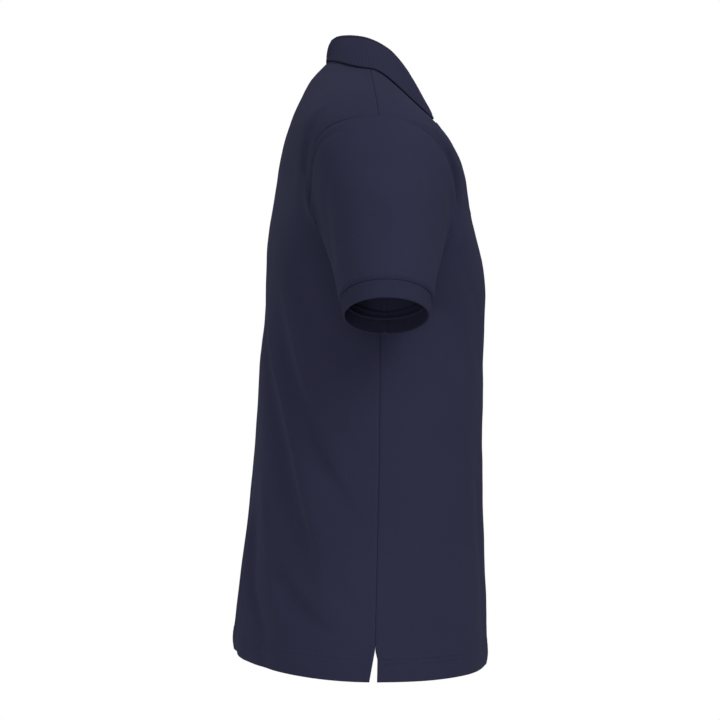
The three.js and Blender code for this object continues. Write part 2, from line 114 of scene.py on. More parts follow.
# Finer creases laid on the same cloth.
FINE_CREASES = table(
    "from_angle from_level to_angle to_level width rise end",
    [
        (163, 630, 157.5, 588, 5, -2.0, 26),
        (157.5, 592, 154, 538, 5, -2.4, 22),
        (151, 600, 148, 528, 9, 1.5, 40),
        (20, 300, -4, 205, 9, -1.1, 44),
        (12, 405, -14, 352, 8, -1.2, 36),
        (8, 432, -24, 400, 8, -1.4, 34),
        (168, 408, 192, 350, 8, -1.2, 36),
        (174, 436, 203, 404, 8, -1.3, 34),
        (150, 345, 172, 224, 7, 0.8, 50),
        (160, 300, 184, 196, 9, -1.1, 44),
        (70, 190, 66, -20, 6, -1.1, 150),
        (84, 240, 81, -20, 5, 1.0, 170),
        (92, 165, 92, -20, 6, -1.2, 120),
        (104, 210, 107, -20, 6, 1.0, 150),
        (58, 330, 40, 250, 10, -1.2, 50),
        (120, 330, 136, 262, 10, -1.1, 50),
        (-30, 445, -48, 398, 9, -1.4, 40),
        (-150, 446, -133, 402, 9, -1.3, 40),
        (-42, 380, -64, 320, 12, -1.2, 60),
        (-139, 372, -120, 306, 12, -1.1, 60),
        (-74, 540, -92, 500, 11, -0.9, 40),
        (-110, 536, -96, 492, 11, -0.9, 40),
        (-46, 600, -62, 545, 12, -1.2, 50),
        (-136, 604, -120, 552, 12, -1.1, 50),
        (-36, 300, -46, 150, 14, 1.3, 120),
        (-80, 330, -86, 90, 16, 1.2, 160),
        (-100, 260, -97, -20, 12, -1.1, 170),
        (-144, 290, -136, 120, 14, 1.3, 120),
        (-70, 140, -74, -20, 9, 0.9, 100),
    ],
)

# Draped folds with one steep side. Each runs down through a few places, in degrees around and
# levels. Near and far are its widths on the side of the wearer's front and on the other side for
# the wearer's right, sharp is the power of its near side, and end is how softly it fades in and out.
DRAPES = [
    # rise, near, sharp, far, end, and its places
    (-9.0, 15, 3, 23, 80, [(25, 70), (28, 148), (32.5, 192), (40.5, 257), (52, 326), (63, 367), (76, 430)]),
    (3.0, 15, 2, 8, 90, [(19, 120), (24, 174), (29.5, 220), (37, 279), (43, 326), (51, 378), (58, 440)]),
    (-5.6, 9, 3, 13, 110, [(7, 160), (13.5, 203), (19, 230), (23.5, 260), (26.5, 291), (32, 324), (46, 450)]),
    (-1.1, 5, 3, 9, 20, [(3, 312), (6, 325), (9, 340), (11.5, 366)]),
    (-0.9, 7, 3, 12, 24, [(9, 280), (12, 295), (15, 320)]),
    (2.4, 10, 2, 12, 50, [(29, 30), (37.5, 72), (43, 116), (48, 162), (56, 230)]),
    (-4.6, 10, 3, 13, 30, [(15, 42), (22, 60), (27, 77), (34, 96), (40, 128)]),
    (-1.1, 8, 3, 12, 24, [(6, 62), (9.5, 83), (13.5, 110), (15, 134)]),
    (-4.4, 13, 2, 11, 70, [(43, -40), (45, 40), (51, 67), (57, 94), (61, 190)]),
    (3.0, 6, 2, 12, 90, [(66, -40), (66, 41), (66, 93), (66, 139), (68, 215)]),
    (2.1, 4, 2, 14, 26, [(22, 512), (25, 537), (26, 561), (24.5, 582), (22, 608), (17, 645)]),
    (-2.8, 9, 2, 4, 26, [(19.5, 510), (22, 537), (23, 561), (21.8, 582), (20, 608), (16.5, 640)]),
    (-1.6, 9, 2, 6, 30, [(-27, 322), (-29, 347), (-33, 392)]),
    (-4.8, 26, 2, 24, 90, [(150, 80), (146, 150), (140, 214), (129, 290), (116, 350), (108, 410)]),
    (-2.2, 15, 2, 10, 60, [(172, 170), (165, 214), (157, 268), (152, 310), (144, 372)]),
    (1.8, 14, 2, 6, 90, [(117, -40), (115, 60), (114, 150), (112, 240)]),
]

# Sleeve on the wearer's right, from the armhole to the seam of its ribbed cuff.
CUFF_SEAM_CENTER = np.array([-262.0, -15.5, -284.0])
CUFF_TILT = math.radians(22)
SLEEVE_END = (50.0, 52.5)
CUFF_TOP = (47.6, 50.8)
CUFF_BOTTOM = (45.6, 49.8)
CUFF_HEIGHT = 20.0
SLEEVE_LEAVE = table(
    "turn across height reach",
    [(0, -0.72, -0.69, 24), (90, -0.8, -0.6, 24), (180, -0.76, -0.65, 60)],
)
SLEEVE_ARRIVE = table("turn reach", [(0, 26), (90, 54), (180, 78)])
SLEEVE_INSET = 6.0
SLEEVE_FLARE = 7.0

# Creases of the sleeve: turn in degrees from the underarm over the back to the top, and the
# share of the way from the armhole to the cuff.
SLEEVE_CREASES = table(
    "from_turn from_share to_turn to_share width rise",
    [
        (62, 0.12, 104, 0.1, 5, -2.0),
        (104, 0.1, 152, 0.1, 5, -1.7),
        (60, 0.05, 150, 0.045, 5, 0.7),
        (74, 0.22, 60, 0.62, 9, -2.2),
        (284, 0.14, 300, 0.66, 9, -2.0),
        (208, 0.17, 226, 0.32, 4, -1.0),
        (203, 0.2, 222, 0.36, 5, 0.8),
        (215, 0.3, 196, 0.44, 9, -0.9),
        (150, 0.55, 196, 0.62, 12, 0.8),
        (120, 0.4, 96, 0.78, 11, -1.4),
        (246, 0.42, 262, 0.8, 10, -1.3),
        (30, 0.2, 44, 0.75, 7, -1.6),
        (330, 0.2, 316, 0.75, 7, -1.5),
    ],
)

# Collar, right half from the centre back to the centre front.
COLLAR_STATIONS = table(
    "share seam_angle fold_x fold_y fold_z edge_angle edge_level",
    [
        (0, 90, 0, 43.6, 33.6, 90, 778),
        (0.2, 62, -28, 37, 31.8, 62, 775.5),
        (0.4, 32, -52, 20, 28.4, 30, 768.5),
        (0.55, 5, -62, 1, 23, 4, 753),
        (0.7, -22, -60.5, -20, 12.4, -18, 741),
        (0.82, -45, -49, -42, -10.5, -36, 741),
        (0.92, -67, -28, -57.5, -36.5, -53, 751),
        (1, -88.6, -3.2, -67.5, -49, -70, 766),
    ],
)
COLLAR_FOLD_RADIUS = 2.4
COLLAR_SEAM_RUN = 5.0
COLLAR_SEAM_LIFT = 1.0
COLLAR_EDGE_LIFT = 1.5
COLLAR_ROLL = 5.0

# Placket down the centre front, closed left over right, and its buttons.
PLACKET_HALF_WIDTH = 16.0
PLACKET_UNDER_HALF_WIDTH = 14.0
PLACKET_LEVEL = 561.0
SLIT_LEVEL = 570.0
SLIT_HALF_WIDTH = 5.0
BUTTON_LEVELS = (756.0, 691.0, 619.0)
BUTTON_RADIUS = 5.7
BUTTON_THICKNESS = 2.2

# Seam allowances inside, and the dip that a row of stitches presses into the cloth.
ALLOWANCE_THICKNESS = 0.7
ALLOWANCE_CLEARANCE = 0.3
STITCH_DIP = 0.24

# How much tighter than a free edge the edge of cloth is rounded where it is sewn.
SEWN_EDGE = 2.4

# Ribs of the flat-knit collar and cuffs.
RIB_PITCH = 2.0
RIB_HEIGHT = 0.2


def smooth_column(rows, key, place, column):
    """A table column as a smooth curve without overshoot: cubic between two rows, with the
    harmonic mean of the neighbouring slopes at each row."""
    x, y = rows[key], rows[column]
    slope = np.diff(y) / np.diff(x)
    tangent = np.empty(len(x))
    tangent[0], tangent[-1] = slope[0], slope[-1]
    product = slope[:-1] * slope[1:]
    total = np.where(product > 0, slope[:-1] + slope[1:], 1)
    tangent[1:-1] = np.where(product > 0, 2 * product / total, 0)
    row = np.clip(np.searchsorted(x, place, side="right") - 1, 0, len(x) - 2)
    span = x[row + 1] - x[row]
    share = (place - x[row]) / span
    bend = share * share * (3 - 2 * share)
    value = y[row] + (y[row + 1] - y[row]) * bend
    value = value + tangent[row] * span * share * (1 - share) ** 2
    return value + tangent[row + 1] * span * share**2 * (share - 1)


def smooth_step(value):
    """0 below 0, 1 above 1, and a soft S between them."""
    held = np.clip(value, 0, 1)
    return held * held * (3 - 2 * held)


def bump(distance, width):
    """A round-topped ridge: 1 on its line, fading with the square of the distance."""
    return np.exp(-((distance / width) ** 2))


def run_height(at_x, at_y, run_x, run_y, width, end):
    """Height from 0 to 1 of a straight run that starts at the origin: a round-topped section
    across the run, faded out past both of its ends."""
    length = math.hypot(run_x, run_y)
    along = (at_x * run_x + at_y * run_y) / length
    aside = (at_x * run_y - at_y * run_x) / length
    fade = smooth_step((along + end / 2) / end) * smooth_step((length - along + end / 2) / end)
    return fade * bump(aside, width)


def folds_at(rows, around, level):
    """Sum of all the rises of a table of folds at places on the body."""
    total = np.zeros(np.broadcast(around, level).shape)
    for row in zip(*rows.values()):
        from_angle, from_level, to_angle, to_level, width, rise, end = row
        turn = around - math.radians(from_angle)
        turn = np.arctan2(np.sin(turn), np.cos(turn)) * FOLD_REACH
        run_x = math.radians(to_angle - from_angle) * FOLD_REACH
        run_y = to_level - from_level
        total += rise * run_height(turn, level - from_level, run_x, run_y, width, end)
    return total


def drapes_at(around, level):
    """Sum of the draped folds: each has its full rise on its own line, and falls off on either
    side of it by exp(-(distance / width) ** power)."""
    total = np.zeros(np.broadcast(around, level).shape)
    for rise, near, sharp, far, end, places in DRAPES:
        line = table("angle level", places)
        low, high = line["level"][0], line["level"][-1]
        held = np.clip(level, low, high)
        middle = np.radians(smooth_column(line, "level", held, "angle"))
        lean = np.gradient(np.radians(line["angle"]), line["level"]) * FOLD_REACH
        lean = np.interp(held, line["level"], lean)
        aside = np.arctan2(np.sin(around - middle), np.cos(around - middle))
        aside = aside * FOLD_REACH / np.hypot(1, lean)
        width, power = np.where(aside < 0, near, far), np.where(aside < 0, sharp, 2)
        fade = smooth_step((level - low) / end) * smooth_step((high - level) / end)
        total += rise * fade * np.exp(-((np.abs(aside) / width) ** power))
    return total


def points(x, y, z):
    return np.stack(np.broadcast_arrays(x, y, z), axis=-1)


def unit(vectors):
    return vectors / np.linalg.norm(vectors, axis=-1, keepdims=True)


def body_point(around, level):
    """Outer surface of the body. Each ring is a rounded box about the side line's depth: its
    radius is the power mean of its half width and its depth. Its height moves from that of the
    side line to that of the centre front or back."""
    around, level = np.broadcast_arrays(np.asarray(around, float), np.asarray(level, float))
    read = {name: smooth_column(BODY_SECTIONS, "level", level, name) for name in BODY_SECTIONS}
    cosine, sine = np.cos(around), np.sin(around)
    is_front = sine < 0
    depth = np.where(is_front, read["side_y"] - read["front_y"], read["back_y"] - read["side_y"])
    power = read["squareness"]
    ring = (np.abs(cosine) / read["half_width"]) ** power + (np.abs(sine) / depth) ** power
    radius = ring ** (-1 / power) + folds_at(LARGE_FOLDS, around, level) + drapes_at(around, level)
    fall = read["fall"]
    share = sine**2 * (1 + fall) / (sine**2 + fall)
    end_z = np.where(is_front, read["front_z"], read["back_z"])
    height = read["side_z"] + (end_z - read["side_z"]) * share
    return points(-radius * cosine, read["side_y"] + radius * sine, height)


def body_frame(around, level):
    """Directions on the body surface: up along it, and straight out of it."""
    rise = unit(body_point(around, level + 0.5) - body_point(around, level - 0.5))
    turn = body_point(around + 0.002, level) - body_point(around - 0.002, level)
    return rise, unit(np.cross(rise, turn))


def waves(x, y, size, seed):
    """Gentle uneven swells: a sum of a few crossed sine waves of about one size, from a seed."""
    draw = np.random.default_rng(seed)
    total = 0
    for _ in range(7):
        angle = draw.uniform(0, math.pi)
        length = size * draw.uniform(0.7, 1.5)
        phase = draw.uniform(0, 2 * math.pi)
        step = (x * math.cos(angle) + y * math.sin(angle)) * 2 * math.pi / length
        total = total + np.sin(step + phase)
    return total / 7


def armhole_distance(around, level):
    """Distance outside the armhole's edge, which is an oval in angle and level."""
    turn = np.arctan2(np.sin(around), np.cos(around))
    aside = np.where(np.abs(turn) > math.pi / 2, math.pi - np.abs(turn), np.abs(turn))
    angle = np.where(np.sin(around) > 0, ARMHOLE_BACK_ANGLE, ARMHOLE_FRONT_ANGLE)
    up = (level - ARMHOLE_MIDDLE) / ARMHOLE_HALF
    out = np.hypot(up, aside / np.radians(angle))
    return (out - 1) * ARMHOLE_RADIUS, aside


def seam_relief(distance, allowance, depth=0.3):
    """Profile across a seam: a narrow valley on the seam, then the slightly raised band of its
    turned allowance, which ends in a shallow step."""
    valley = -depth * bump(distance, 1.5)
    band = 0.3 * smooth_step(distance / 2.5) * (1 - smooth_step((distance - allowance) / 2.5))
    return valley + band


def body_relief(around, level):
    """What is finer than the solids: creases, swells, the bands beside seams, and the hem."""
    around, level = np.broadcast_arrays(np.asarray(around, float), np.asarray(level, float))
    reach = around * FOLD_REACH
    armhole, aside = armhole_distance(around, level)
    half_width = smooth_column(BODY_SECTIONS, "level", level, "half_width")
    beside = np.where((level < UNDERARM_LEVEL) | (level > TIP_LEVEL), aside * half_width, 1e3)
    height = folds_at(FINE_CREASES, around, level)
    height += 0.9 * waves(reach, level, 95, 3) + 0.28 * waves(reach, level, 34, 8)
    height += seam_relief(np.maximum(armhole, 0), 7.5) - STITCH_DIP * bump(armhole - 6.0, 1.2)
    beneath = smooth_step((TIP_LEVEL - 20 - level) / 70)
    beside_front = smooth_step((TIP_LEVEL + 4 - level) / 45)
    groove = np.where(np.sin(around) < 0, 8.5 * beside_front, 2.8 * beneath)
    height -= groove * bump(armhole - 9, 8) * smooth_step(armhole / 7)
    height += seam_relief(beside, 6.0, np.where(level > TIP_LEVEL, 0.12, 0.25))
    is_shoulder_back = (level > TIP_LEVEL) & (np.sin(around) > 0)
    height -= np.where(is_shoulder_back, STITCH_DIP * bump(beside - 5.0, 1.2), 0)
    pucker = 0.16 * np.sin(reach / 1.9 + 2 * np.sin(reach / 17)) * bump(level - HEM_TURN, 5)
    hem = (1 - smooth_step((level - HEM_TURN) / 2.5)) * HEM_EXTRA / 2
    stitch_line = -0.3 * bump(level - HEM_TURN + 1.5, 1.2)
    curl = -2.6 * np.clip(1 - level / 17, 0, 1) ** 2
    return height + hem + stitch_line + pucker + curl


def on_body(around, level, lift=0.0):
    """Places on the finished outer surface of the body, and the directions out of it."""
    _, out = body_frame(around, level)
    return body_point(around, level) + out * (body_relief(around, level) + lift)[..., None], out


def front_angle(across, level):
    """Angle of a place on the body's front at a distance across from the centre line."""
    side = smooth_column(BODY_SECTIONS, "level", level, "side_y")
    front = smooth_column(BODY_SECTIONS, "level", level, "front_y")
    return -math.pi / 2 - np.arctan(across / (side - front))


def graded(count, length, close=(0.12, 0.4, 0.9)):
    """Shares from 0 to 1 in even steps, and at both ends at close distances, for a round edge."""
    near = np.array(close) / length
    even = np.linspace(0, 1, count + 1)
    even = even[(even > near[-1] * 1.25) & (even < 1 - near[-1] * 1.25)]
    return np.concatenate([[0], near, even, 1 - near[::-1], [1]])


def edge_round(distance, thickness):
    """Half thickness of cloth near an edge: a quarter round that opens to its full size."""
    half = thickness / 2
    inside = np.clip(distance / half, 0, 1)
    return np.maximum(half * np.sqrt(1 - (1 - inside) ** 2), EDGE_HALF_THICKNESS)


def write_mesh(name, places, faces, uv=None, material=None):
    """A mesh object from points in millimetres and an array of faces of one size each."""
    mesh = bpy.data.meshes.new(name)
    mesh.vertices.add(len(places))
    mesh.vertices.foreach_set("co", (places * METRE).astype(np.float32).ravel())
    size = faces.shape[1]
    mesh.loops.add(faces.size)
    mesh.loops.foreach_set("vertex_index", faces.astype(np.int32).ravel())
    mesh.polygons.add(len(faces))
    mesh.polygons.foreach_set("loop_start", np.arange(len(faces), dtype=np.int32) * size)
    mesh.polygons.foreach_set("use_smooth", np.ones(len(faces), bool))
    if uv is not None:
        layer = mesh.uv_layers.new(name="cloth")
        layer.data.foreach_set("uv", uv[faces.ravel()].astype(np.float32).ravel())
    mesh.update(calc_edges=True)
    mesh.validate()
    if material:
        mesh.materials.append(material)
    piece = bpy.data.objects.new(name, mesh)
    bpy.context.scene.collection.objects.link(piece)
    return piece


def wall_faces(rows, columns, closed, keep):
    """Faces of a wall with an outer and an inner grid: outer and inner cells, and a rim along
    every open border of the kept cells."""
    cells = columns if closed else columns - 1
    row, column = np.meshgrid(np.arange(rows - 1), np.arange(cells), indexing="ij")
    kept = np.ones(row.shape, bool) if keep is None else keep

    def corner(down, along):
        return (row + down) * columns + (column + along) % columns

    a, b, c, d = corner(0, 0), corner(1, 0), corner(1, 1), corner(0, 1)
    inner = rows * columns
    faces = [
        np.stack([a, b, c, d], -1)[kept],
        np.stack([a, d, c, b], -1)[kept] + inner,
    ]
    border = np.pad(kept, 1)
    if closed:
        border[1:-1, 0], border[1:-1, -1] = kept[:, -1], kept[:, 0]
    sides = [
        (a, b, border[1:-1, :-2]),
        (b, c, border[2:, 1:-1]),
        (c, d, border[1:-1, 2:]),
        (d, a, border[:-2, 1:-1]),
    ]
    for start, end, neighbour in sides:
        open_side = kept & ~neighbour
        faces.append(np.stack([end, start, start + inner, end + inner], -1)[open_side])
    return np.concatenate(faces)


def shell(outer, inner, uv, closed=False, keep=None):
    """Points, faces and cloth coordinates of a closed wall from grids of outer and inner points.
    Unused points are dropped."""
    rows, columns = outer.shape[:2]
    faces = wall_faces(rows, columns, closed, keep)
    places = np.concatenate([outer.reshape(-1, 3), inner.reshape(-1, 3)])
    flat_uv = np.concatenate([uv.reshape(-1, 2)] * 2)
    used, new_faces = np.unique(faces, return_inverse=True)
    return places[used], new_faces.reshape(faces.shape), flat_uv[used]


def cloth_piece(name, shells, material):
    """One cloth piece of several walls: the panel or tube itself, and its seam allowances."""
    starts = np.cumsum([0] + [len(places) for places, _, _ in shells])
    places = np.concatenate([one[0] for one in shells])
    faces = np.concatenate([one[1] + start for one, start in zip(shells, starts)])
    uv = np.concatenate([one[2] for one in shells])
    return write_mesh(name, places, faces, uv, material)


def mirrored(*grids):
    """The same grids for the wearer's left side: X changes sign and the columns are reversed."""
    result = []
    for grid in grids:
        other = grid[:, ::-1].copy()
        if grid.shape[-1] == 3:
            other[..., 0] *= -1
        result.append(other)
    return result


def panel_levels():
    """Rows of a panel: close at the hem and the neck, even up the skirt and the shoulder, and
    following the round edge through the armhole."""
    skirt = np.linspace(0, UNDERARM_LEVEL, 129)[:-1]
    armhole = ARMHOLE_MIDDLE - ARMHOLE_HALF * np.cos(np.linspace(0, math.pi, 47))
    shoulder = np.linspace(TIP_LEVEL, NECK_LEVEL, 44)[1:]
    close = np.array([0.15, 0.5, 1.1, 1.9])
    hem_line = HEM_TURN + np.array([-2.7, -1.5, -0.3, 1, 2.3])
    return np.unique(np.concatenate([skirt, armhole, shoulder, close, hem_line, NECK_LEVEL - close]))


def vent_spread(level, is_back):
    """How far a vent's edge stands off the side line: evenly more down the back's edge, and at
    once at the top of the front's edge, which then hangs straight."""
    down = np.clip(1 - level / VENT_LEVEL, 0, 1)
    return VENT_SPREAD_BACK * down if is_back else VENT_SPREAD_FRONT * smooth_step(down / 0.35)


def panel_edge(level, armhole_angle, is_back):
    """Angle between the side line and a panel's edge, with half of the seam's gap."""
    half_width = smooth_column(BODY_SECTIONS, "level", level, "half_width")
    half_gap = SEAM_GAP / 2 / half_width
    vent = vent_spread(level, is_back) / half_width
    up = (level - ARMHOLE_MIDDLE) / ARMHOLE_HALF
    opening = np.sqrt(np.clip(1 - up * up, 0, 1))
    return half_gap + vent + math.radians(armhole_angle) * opening


def panel_wall(angles, levels, edge_distance, keep=None):
    """A body panel: the outer surface with its relief, a wall inward of it, and round edges."""
    level = np.broadcast_to(levels[:, None], angles.shape)
    _, out = body_frame(angles, level)
    thickness = PANEL_THICKNESS + HEM_EXTRA * (1 - smooth_step((level - HEM_TURN) / 2.5))
    middle = body_point(angles, level)
    middle = middle + out * (body_relief(angles, level) - thickness / 2)[..., None]
    sewn_distance = np.where(level > VENT_LEVEL, edge_distance * SEWN_EDGE, edge_distance)
    distance = np.minimum(sewn_distance, np.minimum(level, NECK_LEVEL - level))
    half = edge_round(distance, thickness)[..., None]
    uv = np.stack([angles * FOLD_REACH, level], -1) * METRE
    return shell(middle + out * half, middle - out * half, uv, keep=keep)


EDGE_COLUMNS = (0.12, 0.4, 0.9, 2.0, 3.2, 4.3, 5.4, 6.6, 8.0, 9.6)


def allowance_on_body(angles, levels, uv, closed=False):
    """A seam allowance, a thin wall that lies flat against the inside of the body along a grid."""
    lift = -PANEL_THICKNESS - ALLOWANCE_CLEARANCE - ALLOWANCE_THICKNESS / 2
    middle, out = on_body(angles, levels, lift)
    half = out * ALLOWANCE_THICKNESS / 2
    return shell(middle + half, middle - half, uv, closed)


def straight_allowance(middle_angle, low, high, width=9.0):
    """The allowance behind a side or shoulder seam, between two levels."""
    levels = np.linspace(low, high, max(int((high - low) / 4), 8))
    across = np.linspace(-width / 2, width / 2, 6)
    level, aside = np.meshgrid(levels, across, indexing="ij")
    half_width = smooth_column(BODY_SECTIONS, "level", level, "half_width")
    uv = np.stack([aside, level], -1) * METRE
    return allowance_on_body(middle_angle + aside / half_width, level, uv)


def armhole_allowance(middle_angle, side):
    """The allowance behind an armhole seam, a ring from just inside the opening outwards."""
    turns = np.linspace(0, 2 * math.pi, 180, endpoint=False)
    turn, aside = np.meshgrid(turns, np.linspace(6.0, -2.0, 6)[::side])
    reach = 1 + aside / ARMHOLE_RADIUS
    opening = np.where(np.sin(turn) > 0, ARMHOLE_BACK_ANGLE, ARMHOLE_FRONT_ANGLE)
    angles = middle_angle + side * np.radians(opening) * reach * np.sin(turn)
    levels = ARMHOLE_MIDDLE - ARMHOLE_HALF * reach * np.cos(turn)
    uv = np.stack([aside, turn * ARMHOLE_RADIUS], -1) * METRE
    return allowance_on_body(angles, levels, uv, closed=True)


def front_panel(material):
    """Front: columns from the wearer's left edge to the right edge, with a slit behind the
    placket, from its lower end to the neck."""
    levels = panel_levels()
    share = graded(70, 300, EDGE_COLUMNS)
    edge = panel_edge(levels, ARMHOLE_FRONT_ANGLE, False)[:, None]
    slit_left = front_angle(SLIT_HALF_WIDTH, levels)[:, None]
    slit_right = front_angle(-SLIT_HALF_WIDTH, levels)[:, None]
    left = (edge - math.pi) + (slit_left - edge + math.pi) * share
    right = slit_right + (-edge - slit_right) * share
    angles = np.concatenate([left, right], axis=1)
    in_slit = levels > SLIT_LEVEL
    far = np.where(in_slit[:, None], (1 - share) * 300, 300)
    left_distance = np.minimum(share * 300, far)
    right_distance = left_distance[:, ::-1]
    distance = np.concatenate([left_distance, right_distance], axis=1)
    keep = np.ones((len(levels) - 1, angles.shape[1] - 1), bool)
    keep[in_slit[:-1], len(share) - 1] = False
    armholes = [armhole_allowance(0.0, 1), armhole_allowance(math.pi, -1)]
    return cloth_piece("front_cloth", [panel_wall(angles, levels, distance, keep), *armholes], material)


def back_panel(material):
    """Back: columns from the wearer's right edge to the left edge."""
    levels = panel_levels()
    share = graded(150, 620, EDGE_COLUMNS)
    edge = panel_edge(levels, ARMHOLE_BACK_ANGLE, True)[:, None]
    angles = edge + (math.pi - 2 * edge) * share
    distance = np.broadcast_to(np.minimum(share, 1 - share) * 620, angles.shape)
    sides = [straight_allowance(middle, VENT_LEVEL + 2, UNDERARM_LEVEL - 3) for middle in (0, math.pi)]
    tops = [straight_allowance(middle, TIP_LEVEL + 4, NECK_LEVEL - 3) for middle in (0, math.pi)]
    return cloth_piece("back_cloth", [panel_wall(angles, levels, distance), *sides, *tops], material)


def armhole_point(turn):
    """The right armhole's edge as the sleeve meets it: a turn of 0 at the underarm, a quarter at
    the back and a half at the shoulder tip, drawn in by the seam's gap."""
    level = ARMHOLE_MIDDLE - (ARMHOLE_HALF - SEAM_GAP) * np.cos(turn)
    angle = np.radians(np.where(np.sin(turn) > 0, ARMHOLE_BACK_ANGLE, ARMHOLE_FRONT_ANGLE))
    return body_point(angle * np.sin(turn) * (1 - SEAM_GAP / ARMHOLE_HALF), level)


SLEEVE_AXIS = np.array([-math.sin(CUFF_TILT), 0, -math.cos(CUFF_TILT)])
SLEEVE_INWARD = np.array([math.cos(CUFF_TILT), 0, -math.sin(CUFF_TILT)])


def sleeve_ring(turn, half_depth, half_width, distance):
    """An oval ring square to the sleeve's axis, at a distance along it from the cuff's seam."""
    inward = SLEEVE_INWARD * (half_width * np.cos(turn))[..., None]
    depth = np.array([0, 1, 0]) * (half_depth * np.sin(turn))[..., None]
    return CUFF_SEAM_CENTER + SLEEVE_AXIS * np.asarray(distance)[..., None] + inward + depth


def sleeve_point(turn, share):
    """Each line of the sleeve leaves the armhole outwards and arrives at the cuff along its axis,
    on one cubic curve, whose handles move in and out a little at the front and the back."""
    turn, share = np.broadcast_arrays(np.asarray(turn, float), np.asarray(share, float))
    half_turn = np.degrees(np.abs(np.arctan2(np.sin(turn), np.cos(turn))))
    start = armhole_point(turn)
    end = sleeve_ring(turn, SLEEVE_END[0], SLEEVE_END[1], np.zeros(turn.shape))
    leave = points(
        smooth_column(SLEEVE_LEAVE, "turn", half_turn, "across"),
        0.0,
        smooth_column(SLEEVE_LEAVE, "turn", half_turn, "height"),
    )
    reach = smooth_column(SLEEVE_LEAVE, "turn", half_turn, "reach")[..., None]
    arrive = smooth_column(SLEEVE_ARRIVE, "turn", half_turn, "reach")[..., None]
    aside = np.sin(turn)[..., None] * np.array([0, 1.0, 0])
    first = start + leave * reach - aside * SLEEVE_INSET
    second = end - SLEEVE_AXIS * arrive + aside * SLEEVE_FLARE
    t = share[..., None]
    return (
        start * (1 - t) ** 3
        + first * 3 * t * (1 - t) ** 2
        + second * 3 * t * t * (1 - t)
        + end * t**3
    )


def surface_out(point_at, turn, share):
    """Directions out of a tube, from its two tangents."""
    low, high = np.clip(share - 0.01, 0, 1), np.clip(share + 0.01, 0, 1)
    run = point_at(turn, high) - point_at(turn, low)
    across = point_at(turn + 0.01, share) - point_at(turn - 0.01, share)
    return unit(np.cross(run, across))


SLEEVE_REACH = 66.0
SLEEVE_LENGTH = 150.0
SLEEVE_STITCH = 7.0


def underarm_distance(turn, radius=SLEEVE_REACH):
    """Distance round a tube from its underarm seam."""
    return np.abs(np.arctan2(np.sin(turn), np.cos(turn))) * radius


def sleeve_relief(turn, share, seed):
    """Creases and swells of a sleeve, the band above the cuff's seam and the tiny gathers that
    ease the sleeve onto the cuff."""
    x, y = turn * SLEEVE_REACH, share * SLEEVE_LENGTH
    height = 0.8 * waves(x, y, 70, seed) + 0.25 * waves(x, y, 28, seed + 1)
    for row in zip(*SLEEVE_CREASES.values()):
        from_turn, from_share, to_turn, to_share, width, rise = row
        at_x = turn - math.radians(from_turn)
        at_x = np.arctan2(np.sin(at_x), np.cos(at_x)) * SLEEVE_REACH
        run_x = math.radians(to_turn - from_turn) * SLEEVE_REACH
        at_y = (share - from_share) * SLEEVE_LENGTH
        run_y = (to_share - from_share) * SLEEVE_LENGTH
        height = height + rise * run_height(at_x, at_y, run_x, run_y, width, 16.0)
    height = height * smooth_step(y / 8) * smooth_step((SLEEVE_LENGTH - y) / 10 + 0.15)
    to_front = np.abs(np.arctan2(np.sin(turn + math.pi / 2), np.cos(turn + math.pi / 2)))
    tuck = 3.6 * bump(y - 24, 13) - 4.0 * bump(y - 5, 6) * smooth_step(y / 4)
    height = height + tuck * bump(to_front, 0.62)
    to_cuff = (1 - share) * SLEEVE_LENGTH
    gathers = 0.16 * np.sin(turn * 44 + 2 * np.sin(turn * 5)) * bump(to_cuff - 3, 5)
    stitched = STITCH_DIP * bump(to_cuff - SLEEVE_STITCH, 1.2) + 1.7 * bump(to_cuff, 2.2)
    seams = seam_relief(to_cuff, 8.0) + seam_relief(y, 3.0)
    return height + gathers - stitched + seams + seam_relief(underarm_distance(turn), 5.0)


def tube_grids(point_at, turn, share, relief, thickness, length):
    """Outer and inner grids of a round cloth tube with round edges at both ends."""
    turn, share = np.meshgrid(turn, share)
    out = surface_out(point_at, turn, share)
    middle = point_at(turn, share) + out * (relief(turn, share) - thickness / 2)[..., None]
    half = edge_round(np.minimum(share, 1 - share) * length, thickness)[..., None]
    return middle + out * half, middle - out * half, turn, share


def cuff_allowance(seed):
    """The turned allowance inside the cuff's seam, from just inside the cuff to above the seam."""
    turn = np.linspace(0, 2 * math.pi, 216, endpoint=False)
    rings = []
    depth = ALLOWANCE_CLEARANCE + ALLOWANCE_THICKNESS / 2
    for above in (15.0, 11.0, 7.5, 4.5):
        share = np.full(turn.shape, 1 - above / SLEEVE_LENGTH)
        out = surface_out(sleeve_point, turn, share)
        inside = sleeve_relief(turn, share, seed) - PANEL_THICKNESS - depth
        rings.append((sleeve_point(turn, share) + out * inside[:, None], out))
    for below in (0.5, 2.0, 3.5):
        share = np.full(turn.shape, below / CUFF_HEIGHT)
        out = surface_out(cuff_point, turn, share)
        rings.append((cuff_point(turn, share) - out * (RIB_THICKNESS + RIB_HEIGHT + depth), out))
    middle, out = (np.stack(grids) for grids in zip(*rings))
    half = out * ALLOWANCE_THICKNESS / 2
    half[[0, -1]] *= 0.2
    along = np.array([-15.0, -11.0, -7.5, -4.5, 0.5, 2.0, 3.5])
    uv = np.stack(np.meshgrid(turn * SLEEVE_REACH, along), -1) * METRE
    return middle + half, middle - half, uv


